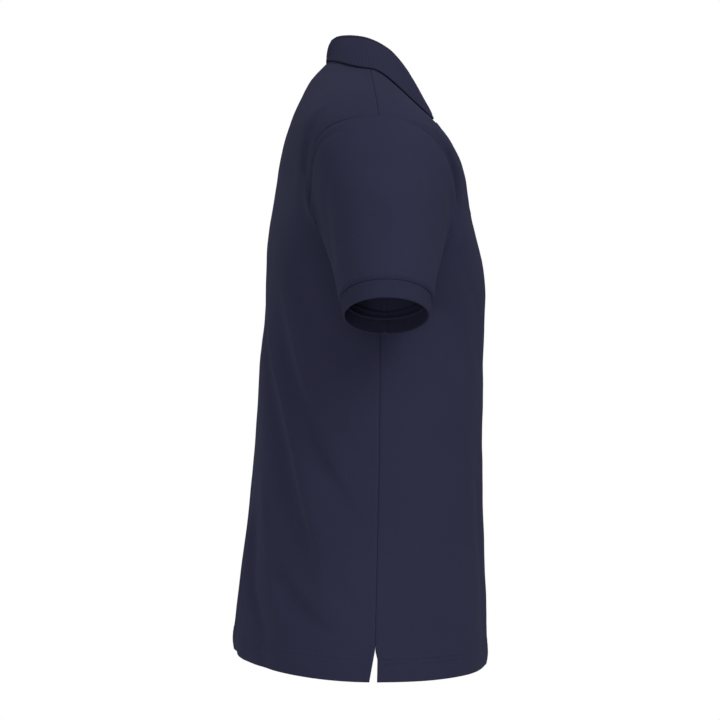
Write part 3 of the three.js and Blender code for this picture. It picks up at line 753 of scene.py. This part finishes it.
def sleeve(side, material):
    """A sleeve: the tube between armhole and cuff, and its allowance at the cuff's seam."""
    turn = np.linspace(0, 2 * math.pi, 216, endpoint=False)
    share = graded(64, SLEEVE_LENGTH, EDGE_COLUMNS)
    seed = 21 if side == "right" else 57
    outer, inner, turns, shares = tube_grids(
        sleeve_point, turn, share, lambda t, s: sleeve_relief(t, s, seed), PANEL_THICKNESS, SLEEVE_LENGTH
    )
    uv = np.stack([turns * SLEEVE_REACH, shares * SLEEVE_LENGTH], -1) * METRE
    walls = [(outer, inner, uv), cuff_allowance(seed)]
    if side == "left":
        walls = [mirrored(*grids) for grids in walls]
    shells = [shell(*grids, closed=True) for grids in walls]
    return cloth_piece(f"sleeve_cloth_{side}", shells, material)


def cuff_point(turn, share):
    """The cuff tapers a little from its seam to its opening, whose rim has a small notch where
    the underarm seam ends."""
    half_depth = CUFF_TOP[0] + (CUFF_BOTTOM[0] - CUFF_TOP[0]) * share
    half_width = CUFF_TOP[1] + (CUFF_BOTTOM[1] - CUFF_TOP[1]) * share
    notch = 0.8 * bump(underarm_distance(turn, 50), 1.8) * share
    distance = SEAM_GAP + (CUFF_HEIGHT - SEAM_GAP) * share - notch
    return sleeve_ring(turn, half_depth, half_width, distance)


def cuff(side, material):
    """A ribbed cuff: ribs run along the sleeve on both faces and fade at its two edges. The
    underarm seam is a valley outside and a ridge of turned cloth inside."""
    ribs = 156
    turn = np.linspace(0, 2 * math.pi, ribs * 6, endpoint=False)
    share = graded(12, CUFF_HEIGHT, (0.15, 0.45, 0.9, 1.6))
    outer, inner, turns, shares = tube_grids(
        cuff_point, turn, share, lambda t, s: 0.25 * np.sin(3 * t + 1) * s, RIB_THICKNESS, CUFF_HEIGHT
    )
    out = surface_out(cuff_point, turns, shares)
    fade = smooth_step(np.minimum(shares, 1 - shares) * CUFF_HEIGHT / 1.6)
    rib = RIB_HEIGHT * np.cos(turns * ribs) * fade
    from_seam = underarm_distance(turns, 50)
    valley, ridge = 0.6 * bump(from_seam, 0.9), 1.1 * bump(from_seam, 2.2) * fade
    outer, inner = outer + out * (rib - valley)[..., None], inner - out * (rib + ridge)[..., None]
    uv = np.stack([turns * 50, shares * CUFF_HEIGHT], -1) * METRE
    if side == "left":
        outer, inner, uv = mirrored(outer, inner, uv)
    return cloth_piece(f"cuff_rib_{side}", [shell(outer, inner, uv, closed=True)], material)


def bezier(controls, t):
    """Quadratic curves between arrays of points: one curve for each station."""
    a, b, c = controls
    t = t[:, None, None]
    return a * (1 - t) ** 2 + b * 2 * t * (1 - t) + c * t * t


def collar_middle(share):
    """Middle surface of the folded collar, rows from the neck seam up the stand, over the fold
    and down the leaf, columns over the stations of its right half."""
    read = {name: smooth_column(COLLAR_STATIONS, "share", share, name) for name in COLLAR_STATIONS}
    seam_angle = np.radians(read["seam_angle"])
    rise, out = body_frame(seam_angle, NECK_LEVEL - 1)
    seam = body_point(seam_angle, NECK_LEVEL) - out * PANEL_THICKNESS / 2 + rise * COLLAR_SEAM_LIFT
    edge_angle = np.radians(read["edge_angle"])
    _, edge_out = body_frame(edge_angle, read["edge_level"])
    edge = body_point(edge_angle, read["edge_level"]) + edge_out * COLLAR_EDGE_LIFT
    fold = points(read["fold_x"], read["fold_y"], read["fold_z"])
    outward = edge - fold
    outward[..., 2] = 0
    outward = unit(outward)
    up = np.array([0, 0, 1.0])
    radius = COLLAR_FOLD_RADIUS
    stand_top, leaf_top = fold - outward * radius, fold + outward * radius
    leaf_middle = leaf_top * 0.55 + edge * 0.45 + up * COLLAR_ROLL + outward * COLLAR_ROLL / 2
    stand = bezier((seam, seam + rise * COLLAR_SEAM_RUN, stand_top), graded(9, 28)[:-1])
    angle = np.linspace(0, math.pi, 9)[:, None, None]
    turn_over = fold - outward * radius * np.cos(angle) + up * radius * np.sin(angle)
    leaf = bezier((leaf_top, leaf_middle, edge), graded(15, 40)[1:])
    return np.concatenate([stand, turn_over, leaf])


def grid_out(grid):
    """Directions out of a grid of points, from the steps along its rows and its columns."""
    return unit(np.cross(np.gradient(grid, axis=0), np.gradient(grid, axis=1)))


def collar(material):
    """The flat-knit collar: one folded band with fine ribs across it and a close edge line."""
    even = np.linspace(0, 1, 400)
    fold_line = collar_middle(even)[16]
    length = np.concatenate([[0], np.cumsum(np.linalg.norm(np.diff(fold_line, axis=0), axis=1))])
    steps = int(length[-1] / RIB_PITCH * 5)
    along = graded(steps, length[-1])
    along = along[along == np.clip(along, 0, 1)]
    share = np.interp(along * length[-1], length, even)
    right = collar_middle(share)
    left = right[:, :0:-1] * np.array([-1, 1, 1])
    middle = np.concatenate([left, right], axis=1)
    side_length = np.concatenate([-along[:0:-1], along]) * length[-1]
    out = grid_out(middle)
    down = np.linalg.norm(np.diff(middle, axis=0), axis=2)
    down = np.concatenate([np.zeros((1, middle.shape[1])), np.cumsum(down, axis=0)])
    to_edge = down[-1] - down
    to_end = length[-1] - np.abs(side_length)
    half = edge_round(np.minimum(np.minimum(down, to_edge), to_end), RIB_THICKNESS)
    fade = smooth_step(np.minimum(to_edge, to_end) / 2.0)
    rib = RIB_HEIGHT * 0.8 * np.cos(2 * math.pi * side_length / RIB_PITCH) * fade
    edge_line = 0.4 * bump(to_edge - 5.2, 0.9)
    swell = 0.5 * waves(np.broadcast_to(side_length, down.shape), down, 60, 5)
    swell = swell * smooth_step(down / 12)
    outer = middle + out * (half + rib - edge_line + swell)[..., None]
    inner = middle + out * (swell - half - rib)[..., None]
    uv = np.stack([np.broadcast_to(side_length, down.shape), down], -1) * METRE
    return cloth_piece("collar_rib", [shell(outer, inner, uv)], material)


def placket_strip(name, half_width, lift, material):
    """A strip of the placket on the front's own surface, moved out or in, with pressed edges."""
    share = graded(16, 2 * half_width)
    levels = PLACKET_LEVEL + (NECK_LEVEL - PLACKET_LEVEL) * graded(80, NECK_LEVEL - PLACKET_LEVEL)
    across = half_width * (1 - 2 * share)
    level, place = np.meshgrid(levels, across, indexing="ij")
    angle = front_angle(place, level)
    surface, out = on_body(angle, level)
    from_edge = np.minimum(half_width - np.abs(place), np.minimum(level - PLACKET_LEVEL, NECK_LEVEL - level))
    half = edge_round(from_edge, PANEL_THICKNESS)
    stitched = -0.28 * bump(half_width - np.abs(place) - 2.2, 0.9)
    pucker = 0.1 * np.sin(level / 1.7 + np.sin(level / 9) * 2) * bump(half_width - np.abs(place) - 2, 3)
    middle = surface + out * (lift + PANEL_THICKNESS / 2 + stitched + pucker)[..., None]
    uv = np.stack([-place, level], -1) * METRE
    half = half[..., None]
    return cloth_piece(name, [shell(middle + out * half, middle - out * half, uv)], material)


def button_frame(level):
    """Middle of a button's place on the body, and its directions across, up and out."""
    middle, out = on_body(np.array(-math.pi / 2), np.array(level))
    rise, _ = body_frame(np.array(-math.pi / 2), np.array(level))
    return middle, np.cross(rise, out), rise, out


def button(number, level, material):
    """A button: rings of a turned profile with a round rim and a dished middle, pressed in at
    four thread holes."""
    radius = np.array([0, 0.6, 1.2, 1.7, 2.2, 2.8, 3.4, 3.9, 4.25, 4.6, 5.0, 5.4, 5.62, 5.7, 5.62, 5.3, 4.6, 2.5, 0])
    height = np.array([1.5, 1.5, 1.5, 1.5, 1.5, 1.5, 1.52, 1.6, 1.85, 2.1, 2.2, 2.1, 1.8, 1.2, 0.55, 0.15, 0, 0, 0])
    fine = np.linspace(0, len(radius) - 1, 5 * (len(radius) - 1) + 1)
    steps = np.arange(len(radius))
    radius, height = np.interp(fine, steps, radius), np.interp(fine, steps, height)
    turn = np.linspace(0, 2 * math.pi, 72, endpoint=False)
    ring, angle = np.meshgrid(radius[1:-1], turn, indexing="ij")
    rise = np.broadcast_to(height[1:-1, None], ring.shape).copy()
    x, y = ring * np.cos(angle), ring * np.sin(angle)
    is_face = rise > 1.3
    for hole_x in (-1.15, 1.15):
        for hole_y in (-1.15, 1.15):
            rise -= np.where(is_face, 1.1 * bump(np.hypot(x - hole_x, y - hole_y), 0.62), 0)
    places = points(x, y, rise).reshape(-1, 3)
    ends = np.array([[0, 0, height[0]], [0, 0, 0]])
    local = np.concatenate([places, ends])
    middle, across, rise_along, out = button_frame(level)
    lift = PANEL_THICKNESS + 2 * LAYER_GAP
    world = middle + local[:, :1] * across + local[:, 1:2] * rise_along + (local[:, 2:] + lift) * out
    rows, columns = ring.shape
    row, column = np.meshgrid(np.arange(rows - 1), np.arange(columns), indexing="ij")
    following = (column + 1) % columns
    a, b = row * columns + column, (row + 1) * columns + column
    c, d = (row + 1) * columns + following, row * columns + following
    quads = np.stack([a, b, c, d], -1).reshape(-1, 4)
    turn_index = np.arange(columns)
    top = np.stack([np.full(columns, rows * columns), turn_index, (turn_index + 1) % columns], -1)
    last = (rows - 1) * columns
    low = np.stack([np.full(columns, rows * columns + 1), last + (turn_index + 1) % columns, last + turn_index], -1)
    triangles = np.concatenate([quads[:, [0, 1, 2]], quads[:, [0, 2, 3]], top, low])
    return write_mesh(f"button_disc_{number}", world, triangles, local[:, :2] * METRE, material)


STITCH_LENGTH = 2.5
STITCH_GAP = 0.8
THREAD_RADIUS = 0.2


def stitches(path, out, length=STITCH_LENGTH, gap=STITCH_GAP, radius=THREAD_RADIUS, sink=0.12):
    """Stitches along a path: short threads, each a tube of a few rings that dips at both ends.
    Gives their points and their triangles."""
    step = np.linalg.norm(np.diff(path, axis=0), axis=1)
    place = np.concatenate([[0], np.cumsum(step)])
    count = max(int((place[-1] + gap) / (length + gap)), 1)
    starts = np.arange(count) * (length + gap)
    along = np.array([0.0, 0.22, 0.5, 0.78, 1.0])
    at = starts[:, None] + along[None] * length
    centre = np.stack([np.interp(at, place, path[:, k]) for k in range(3)], -1)
    normal = unit(np.stack([np.interp(at, place, out[:, k]) for k in range(3)], -1))
    tangent = unit(np.gradient(centre, axis=1))
    side = unit(np.cross(tangent, normal))
    size = radius * np.array([0.45, 0.95, 1.05, 0.95, 0.45])
    lift = radius * np.sin(math.pi * along) * 1.2 - sink
    centre = centre + normal * lift[None, :, None]
    sides = 6
    angle = np.linspace(0, 2 * math.pi, sides, endpoint=False)
    ring = (
        centre[:, :, None]
        + side[:, :, None] * (size[:, None] * np.cos(angle))[None, ..., None]
        + normal[:, :, None] * (size[:, None] * np.sin(angle))[None, ..., None]
    )
    rows = len(along)
    one = rows * sides
    row, column = np.meshgrid(np.arange(rows - 1), np.arange(sides), indexing="ij")
    following = (column + 1) % sides
    a, b = row * sides + column, (row + 1) * sides + column
    c, d = (row + 1) * sides + following, row * sides + following
    body = np.concatenate([np.stack([a, b, c], -1).reshape(-1, 3), np.stack([a, c, d], -1).reshape(-1, 3)])
    fan = np.arange(1, sides - 1)
    first = np.stack([np.zeros_like(fan), fan, fan + 1], -1)
    last = np.stack([np.zeros_like(fan), fan + 1, fan], -1) + (rows - 1) * sides
    triangles = np.concatenate([body, first, last])
    all_triangles = (triangles[None] + (np.arange(count) * one)[:, None, None]).reshape(-1, 3)
    return ring.reshape(-1, 3), all_triangles


def joined(parts):
    """Joins lists of points and triangles into one."""
    places, faces, start = [], [], 0
    for part_places, part_faces in parts:
        places.append(part_places)
        faces.append(part_faces + start)
        start += len(part_places)
    return np.concatenate(places), np.concatenate(faces)


def body_row(angles, levels, **options):
    """A row of stitches on the body along given angles and levels."""
    angles, levels = np.broadcast_arrays(np.asarray(angles, float), np.asarray(levels, float))
    path, out = on_body(angles, levels)
    return stitches(path, out, **options)


def hem_stitches():
    """Two parallel rows round the hem, front and back, and a row up and down each vent."""
    parts = []
    for level in (HEM_TURN - 1.5, HEM_TURN - 6.0):
        for start, end in ((0.045, math.pi - 0.045), (math.pi + 0.045, 2 * math.pi - 0.045)):
            angles = np.linspace(start, end, 900)
            parts.append(body_row(angles, np.full(900, level)))
    levels = np.linspace(2.5, VENT_LEVEL + 3, 60)
    for middle in (0, math.pi):
        for side in (-1, 1):
            is_back = (side > 0) == (middle == 0)
            aside = (vent_spread(levels, is_back) + 5.5) / 200
            parts.append(body_row(middle + side * aside, levels))
        across = np.linspace(-1.0, 6.0, 40) / 200 * (1 if middle == 0 else -1)
        for row in range(5):
            tack = np.full(40, VENT_LEVEL + 3.0 + 0.42 * row)
            parts.append(body_row(middle + across, tack, length=6.6, gap=1, radius=0.24))
    return joined(parts)


def armhole_stitches():
    """A row round each armhole on the body, beside the seam, from front to back of the underarm."""
    parts = []
    for middle, side in ((0, 1), (math.pi, -1)):
        turn = np.linspace(0.12, 2 * math.pi - 0.12, 700)
        angle = np.radians(np.where(np.sin(turn) > 0, ARMHOLE_BACK_ANGLE, ARMHOLE_FRONT_ANGLE))
        out = 1 + 6.0 / ARMHOLE_RADIUS
        level = ARMHOLE_MIDDLE - ARMHOLE_HALF * out * np.cos(turn)
        parts.append(body_row(middle + side * angle * out * np.sin(turn), level))
    return joined(parts)


def shoulder_stitches():
    """A row beside each shoulder seam, on its back side."""
    parts = []
    for middle, side in ((0, 1), (math.pi, -1)):
        levels = np.linspace(TIP_LEVEL + 10, NECK_LEVEL - 4, 160)
        half_width = smooth_column(BODY_SECTIONS, "level", levels, "half_width")
        parts.append(body_row(middle + side * 5.0 / half_width, levels))
    return joined(parts)


def sleeve_stitches(side):
    """A row round the sleeve above the cuff's seam."""
    seed = 21 if side == "right" else 57
    turn = np.linspace(0, 2 * math.pi, 500)
    share = np.full(500, 1 - SLEEVE_STITCH / SLEEVE_LENGTH)
    out = surface_out(sleeve_point, turn, share)
    path = sleeve_point(turn, share) + out * sleeve_relief(turn, share, seed)[:, None]
    if side == "left":
        path, out = path * np.array([-1, 1, 1]), out * np.array([-1, 1, 1])
    return stitches(path, out)


def placket_lift():
    return LAYER_GAP + PANEL_THICKNESS - 0.25


def front_row(across, levels, **options):
    """Stitches on the upper placket along distances from its middle and levels."""
    across, levels = np.broadcast_arrays(np.asarray(across, float), np.asarray(levels, float))
    path, out = on_body(front_angle(across, levels), levels, placket_lift())
    return stitches(path, out, **options)


def placket_stitches():
    """Rows along both edges and the lower end of the placket, with a box above the end, and the
    close stitching round each upright buttonhole."""
    inset = PLACKET_HALF_WIDTH - 2.2
    levels = np.linspace(PLACKET_LEVEL + 2.2, NECK_LEVEL - 2, 260)
    parts = [front_row(side * inset, levels) for side in (-1, 1)]
    across = np.linspace(-inset, inset, 60)
    for level in (PLACKET_LEVEL + 2.2, PLACKET_LEVEL + 17):
        parts.append(front_row(across, np.full(60, level)))
    for level in BUTTON_LEVELS:
        for side in (-1, 1):
            for step in np.linspace(-7.2, 7.2, 30):
                bar = np.linspace(0.35, 1.7, 8) * side
                parts.append(front_row(bar, np.full(8, level + step), length=1.3, gap=1, radius=0.2))
        for step in (-7.5, 7.5):
            bar = np.linspace(-1.5, 1.5, 8)
            for fill in (-0.3, 0, 0.3):
                parts.append(front_row(bar, np.full(8, level + step + fill), length=2.8, gap=1, radius=0.2))
    return joined(parts)


def button_threads():
    """Two threads side by side over each pair of a button's holes."""
    parts = []
    lift = PANEL_THICKNESS + 2 * LAYER_GAP + 1.45
    along = np.linspace(-1.35, 1.35, 12)[:, None]
    for level in BUTTON_LEVELS:
        middle, across, rise, out = button_frame(level)
        for side in (-1.15, 1.15):
            for offset in (-0.22, 0.22):
                path = middle + (side + offset) * across + along * rise + lift * out
                outs = np.broadcast_to(out, path.shape)
                parts.append(stitches(path, outs, length=2.6, gap=1, radius=0.21, sink=0.3))
    return joined(parts)


def socket(group, name, kind, is_input, value=None):
    made = group.interface.new_socket(
        name=name, in_out="INPUT" if is_input else "OUTPUT", socket_type=f"NodeSocket{kind}"
    )
    if value is not None:
        made.default_value = value
    return made


def new_group(name, inputs, outputs):
    """A shader node group with its input and output nodes."""
    group = bpy.data.node_groups.new(name, "ShaderNodeTree")
    for input_name, kind, value in inputs:
        socket(group, input_name, kind, True, value)
    for output_name, kind in outputs:
        socket(group, output_name, kind, False)
    return group, group.nodes.new("NodeGroupInput"), group.nodes.new("NodeGroupOutput")


def link(tree, source, target):
    tree.links.new(source, target)


def math_node(tree, operation, first, second=None):
    node = tree.nodes.new("ShaderNodeMath")
    node.operation = operation
    for place, value in enumerate((first, second)):
        if value is None:
            continue
        if isinstance(value, (int, float)):
            node.inputs[place].default_value = value
        else:
            link(tree, value, node.inputs[place])
    return node.outputs[0]


def wave_node(tree, coordinate, pitch):
    """A cosine wave of one pitch, in metres, along one coordinate."""
    turned = math_node(tree, "MULTIPLY", coordinate, 2 * math.pi / pitch)
    return math_node(tree, "COSINE", turned)


def noise_node(tree, vector, scale, detail=3.0):
    node = tree.nodes.new("ShaderNodeTexNoise")
    node.inputs["Scale"].default_value = scale
    node.inputs["Detail"].default_value = detail
    link(tree, vector, node.inputs["Vector"])
    return node.outputs["Fac"]


def mix_color(tree, factor, first, second):
    node = tree.nodes.new("ShaderNodeMix")
    node.data_type = "RGBA"
    link(tree, factor, node.inputs["Factor"])
    for name, value in (("A", first), ("B", second)):
        place = next(s for s in node.inputs if s.name == name and s.type == "RGBA")
        if isinstance(value, tuple):
            place.default_value = value
        else:
            link(tree, value, place)
    return next(s for s in node.outputs if s.type == "RGBA")


def pique_group():
    """Waffle knit: a lattice of small cells in the cloth's own coordinates, with uneven yarn.
    Gives its height, and the mask of its raised yarn, which paints shade into the knit's hollows and a highlight
    onto its raised yarn."""
    group, given, made = new_group(
        "waffle_knit",
        [("Cloth", "Vector", None), ("Cell", "Float", 0.0017)],
        [("Height", "Float"), ("Painted Knit Shade", "Float")],
    )
    split = group.nodes.new("ShaderNodeSeparateXYZ")
    link(group, given.outputs["Cloth"], split.inputs[0])
    per = math_node(group, "DIVIDE", 2 * math.pi, given.outputs["Cell"])
    x = math_node(group, "COSINE", math_node(group, "MULTIPLY", split.outputs["X"], per))
    y = math_node(group, "COSINE", math_node(group, "MULTIPLY", split.outputs["Y"], per))
    lattice = math_node(group, "MULTIPLY", x, y)
    uneven = noise_node(group, given.outputs["Cloth"], 900, 2)
    total = math_node(group, "ADD", lattice, math_node(group, "MULTIPLY", uneven, 0.7))
    link(group, total, made.inputs["Height"])
    # Mask for painted shade and highlight: 1 on the raised yarn, 0 in the hollows.
    raised = math_node(group, "MULTIPLY_ADD", lattice, 0.5)
    raised.node.inputs[2].default_value = 0.5
    link(group, raised, made.inputs["Painted Knit Shade"])
    return group


def rib_group():
    """Flat knit: fine courses across the ribs with uneven yarn. Gives its height, and the mask of its raised ribs,
    which paints shade between the ribs and a highlight onto them.
    """
    group, given, made = new_group(
        "flat_knit", [("Cloth", "Vector", None)], [("Height", "Float"), ("Painted Knit Shade", "Float")]
    )
    split = group.nodes.new("ShaderNodeSeparateXYZ")
    link(group, given.outputs["Cloth"], split.inputs[0])
    rib = wave_node(group, split.outputs["X"], RIB_PITCH * METRE)
    course = wave_node(group, split.outputs["Y"], 0.0011)
    both = math_node(group, "ADD", rib, math_node(group, "MULTIPLY", course, 0.5))
    uneven = noise_node(group, given.outputs["Cloth"], 800, 2)
    link(group, math_node(group, "ADD", both, uneven), made.inputs["Height"])
    # Mask for painted shade and highlight: 1 on the raised ribs, 0 between them.
    raised = math_node(group, "MULTIPLY_ADD", rib, 0.5)
    raised.node.inputs[2].default_value = 0.5
    link(group, raised, made.inputs["Painted Knit Shade"])
    return group


def tone_group():
    """Dyed cotton with painted shade: broad soft variation and fine flecks between a deep and a light tone, and the
    knit's hollows painted darker and its raised yarn lighter.
    """
    group, given, made = new_group(
        "tone_and_painted_knit_shade",
        [("Place", "Vector", None), ("Painted Knit Shade", "Float", 0.5), ("Deep", "Color", None), ("Light", "Color", None)],
        [("Color", "Color")],
    )
    broad = noise_node(group, given.outputs["Place"], 9, 2)
    fleck = noise_node(group, given.outputs["Place"], 1400, 2)
    share = math_node(group, "MULTIPLY", broad, 0.5)
    share = math_node(group, "ADD", share, math_node(group, "MULTIPLY", fleck, 0.35))
    # Painted shade: the knit's hollows darker and its raised yarn lighter.
    share = math_node(group, "ADD", share, math_node(group, "MULTIPLY", given.outputs["Painted Knit Shade"], 0.25))
    share = math_node(group, "SUBTRACT", share, 0.1)
    color = mix_color(group, share, given.outputs["Deep"], given.outputs["Light"])
    link(group, color, made.inputs["Color"])
    return group


def cloth_material(name, knit, tones, deep, light, strength, distance, roughness=0.95, sheen=0.02):
    """Knit cotton: dyed tones with painted shade in the knit's hollows and a painted highlight on its raised yarn, a
    knit bump in cloth coordinates, and a soft nap.
    """
    material = bpy.data.materials.new(name)
    material.use_nodes = True
    tree = material.node_tree
    shader = tree.nodes["Principled BSDF"]
    coordinates = tree.nodes.new("ShaderNodeTexCoord")
    knit_node = tree.nodes.new("ShaderNodeGroup")
    knit_node.node_tree = knit
    link(tree, coordinates.outputs["UV"], knit_node.inputs["Cloth"])
    tone_node = tree.nodes.new("ShaderNodeGroup")
    tone_node.node_tree = tones
    link(tree, coordinates.outputs["Object"], tone_node.inputs["Place"])
    # The knit's mask paints shade into its hollows and a highlight onto its raised yarn.
    link(tree, knit_node.outputs["Painted Knit Shade"], tone_node.inputs["Painted Knit Shade"])
    tone_node.inputs["Deep"].default_value = deep
    tone_node.inputs["Light"].default_value = light
    link(tree, tone_node.outputs["Color"], shader.inputs["Base Color"])
    bump_node = tree.nodes.new("ShaderNodeBump")
    bump_node.inputs["Strength"].default_value = strength
    bump_node.inputs["Distance"].default_value = distance
    link(tree, knit_node.outputs["Height"], bump_node.inputs["Height"])
    link(tree, bump_node.outputs["Normal"], shader.inputs["Normal"])
    shader.inputs["Roughness"].default_value = roughness
    shader.inputs["Specular IOR Level"].default_value = 0.02
    shader.inputs["Sheen Weight"].default_value = sheen
    shader.inputs["Sheen Roughness"].default_value = 0.45
    shader.inputs["Sheen Tint"].default_value = (0.6, 0.65, 0.9, 1)
    return material


def button_material(tones):
    """Navy resin: soft clouds of tone under a smooth gloss with fine scuffs."""
    material = bpy.data.materials.new("button_resin")
    material.use_nodes = True
    tree = material.node_tree
    shader = tree.nodes["Principled BSDF"]
    coordinates = tree.nodes.new("ShaderNodeTexCoord")
    tone_node = tree.nodes.new("ShaderNodeGroup")
    tone_node.node_tree = tones
    link(tree, coordinates.outputs["Object"], tone_node.inputs["Place"])
    tone_node.inputs["Deep"].default_value = (0.012, 0.013, 0.03, 1)
    tone_node.inputs["Light"].default_value = (0.03, 0.032, 0.06, 1)
    link(tree, tone_node.outputs["Color"], shader.inputs["Base Color"])
    scuff = noise_node(tree, coordinates.outputs["Object"], 600, 4)
    spread = tree.nodes.new("ShaderNodeMapRange")
    spread.inputs["To Min"].default_value = 0.22
    spread.inputs["To Max"].default_value = 0.42
    link(tree, scuff, spread.inputs["Value"])
    link(tree, spread.outputs["Result"], shader.inputs["Roughness"])
    return material


def plain_material(name, color, roughness):
    material = bpy.data.materials.new(name)
    material.use_nodes = True
    shader = material.node_tree.nodes["Principled BSDF"]
    shader.inputs["Base Color"].default_value = color
    shader.inputs["Roughness"].default_value = roughness
    return material


# Camera at the photo's angle: level, from the wearer's right side.
CAMERA_DISTANCE = 2.1
CAMERA_PIXELS = 1750.0
FRAME_PIXELS = 720.0
camera_data = bpy.data.cameras.new("camera")
camera_data.sensor_width = 36
camera_data.lens = camera_data.sensor_width * CAMERA_PIXELS / FRAME_PIXELS
camera = bpy.data.objects.new("camera", camera_data)
camera.location = (-CAMERA_DISTANCE, 0.012, -0.348)
camera.rotation_euler = (math.pi / 2, 0, -math.pi / 2)
bpy.context.scene.collection.objects.link(camera)
bpy.context.scene.camera = camera

# Materials.
waffle_knit = pique_group()
flat_knit = rib_group()
tone_and_painted_knit_shade = tone_group()
pique = cloth_material(
    "pique_navy", waffle_knit, tone_and_painted_knit_shade, (0.0215, 0.022, 0.047, 1), (0.03, 0.031, 0.06, 1), 0.35, 0.0002
)
rib = cloth_material(
    "rib_navy", flat_knit, tone_and_painted_knit_shade, (0.02, 0.0205, 0.044, 1), (0.029, 0.03, 0.058, 1), 0.3, 0.00015
)
thread = cloth_material(
    "thread_navy", flat_knit, tone_and_painted_knit_shade, (0.022, 0.023, 0.046, 1), (0.032, 0.033, 0.064, 1), 0.1, 0.0001, 0.8, 0.02
)
resin = button_material(tone_and_painted_knit_shade)

# Pieces, each riding on the one body.
front = front_panel(pique)
back = back_panel(pique)
collar_piece = collar(rib)
upper = placket_strip("placket_upper_strip", PLACKET_HALF_WIDTH, LAYER_GAP, pique)
under_lift = -2 * PANEL_THICKNESS - 3 * LAYER_GAP
under = placket_strip("placket_under_strip", PLACKET_UNDER_HALF_WIDTH, under_lift, pique)
sleeves = {side: sleeve(side, pique) for side in ("right", "left")}
cuffs = {side: cuff(side, rib) for side in ("right", "left")}
buttons = [button(number, level, resin) for number, level in enumerate(BUTTON_LEVELS, 1)]
sewing = {
    "hem_sewing": hem_stitches(),
    "armhole_sewing": armhole_stitches(),
    "shoulder_sewing": shoulder_stitches(),
    "sleeve_sewing_right": sleeve_stitches("right"),
    "sleeve_sewing_left": sleeve_stitches("left"),
    "placket_sewing": placket_stitches(),
    "button_thread": button_threads(),
}
threads = {name: write_mesh(name, places, faces, material=thread) for name, (places, faces) in sewing.items()}

replaced = {
    front: "front_panel",
    back: "back_panel",
    collar_piece: "collar",
    upper: "placket_upper",
    under: "placket_under",
}
for side in ("right", "left"):
    replaced[sleeves[side]] = f"sleeve_{side}"
    replaced[cuffs[side]] = f"cuff_{side}"
for number, piece in enumerate(buttons, 1):
    replaced[piece] = f"button_{number}"
for piece, node in replaced.items():
    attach(piece, BODY)
    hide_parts(node)
for piece in threads.values():
    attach(piece, BODY)

# Plain pale floor well below the hem, and plain soft studio light.
FLOOR_HEIGHT = -1.1
bpy.ops.mesh.primitive_circle_add(vertices=96, radius=1.15, fill_type="NGON", location=(0, 0, FLOOR_HEIGHT))
floor = bpy.context.object
floor.name = "floor"
floor.data.materials.append(plain_material("floor_pale", (0.9, 0.9, 0.9, 1), 0.9))


def area_light(name, place, target, size, power):
    """A square soft light at a place, facing a target."""
    data = bpy.data.lights.new(name, "AREA")
    data.size = size
    data.energy = power
    light = bpy.data.objects.new(name, data)
    light.location = place
    direction = np.array(target, float) - np.array(place, float)
    yaw = math.atan2(direction[0], -direction[1])
    pitch = math.acos(-direction[2] / np.linalg.norm(direction))
    light.rotation_euler = (pitch, 0, yaw + math.pi)
    bpy.context.scene.collection.objects.link(light)
    return light


CENTRE = (0, 0, -0.35)
area_light("key_light", (-1.8, -1.4, 1.3), CENTRE, 1.2, 36)
area_light("fill_light", (-2.3, 0.5, -0.6), CENTRE, 0.9, 11)
area_light("rim_light", (1.2, 2.1, 0.4), CENTRE, 1.2, 14)

bpy.context.scene.view_settings.view_transform = "Standard"
world = bpy.data.worlds.new("studio")
bpy.context.scene.world = world
world.use_nodes = True
world_tree = world.node_tree
background = world_tree.nodes["Background"]
background.inputs["Color"].default_value = (1, 1, 1, 1)
direction = world_tree.nodes.new("ShaderNodeTexCoord")
height = world_tree.nodes.new("ShaderNodeSeparateXYZ")
link(world_tree, direction.outputs["Generated"], height.inputs[0])
dome = world_tree.nodes.new("ShaderNodeMapRange")
for name, value in {"From Min": -1, "From Max": 1, "To Min": 0.0, "To Max": 0.82}.items():
    dome.inputs[name].default_value = value
link(world_tree, height.outputs["Z"], dome.inputs["Value"])
link(world_tree, dome.outputs["Result"], background.inputs["Strength"])
seen = world_tree.nodes.new("ShaderNodeBackground")
seen.inputs["Color"].default_value = (1, 1, 1, 1)
seen.inputs["Strength"].default_value = 1.0
light_path = world_tree.nodes.new("ShaderNodeLightPath")
choice = world_tree.nodes.new("ShaderNodeMixShader")
link(world_tree, light_path.outputs["Is Camera Ray"], choice.inputs[0])
link(world_tree, background.outputs[0], choice.inputs[1])
link(world_tree, seen.outputs[0], choice.inputs[2])
link(world_tree, choice.outputs[0], world_tree.nodes["World Output"].inputs["Surface"])
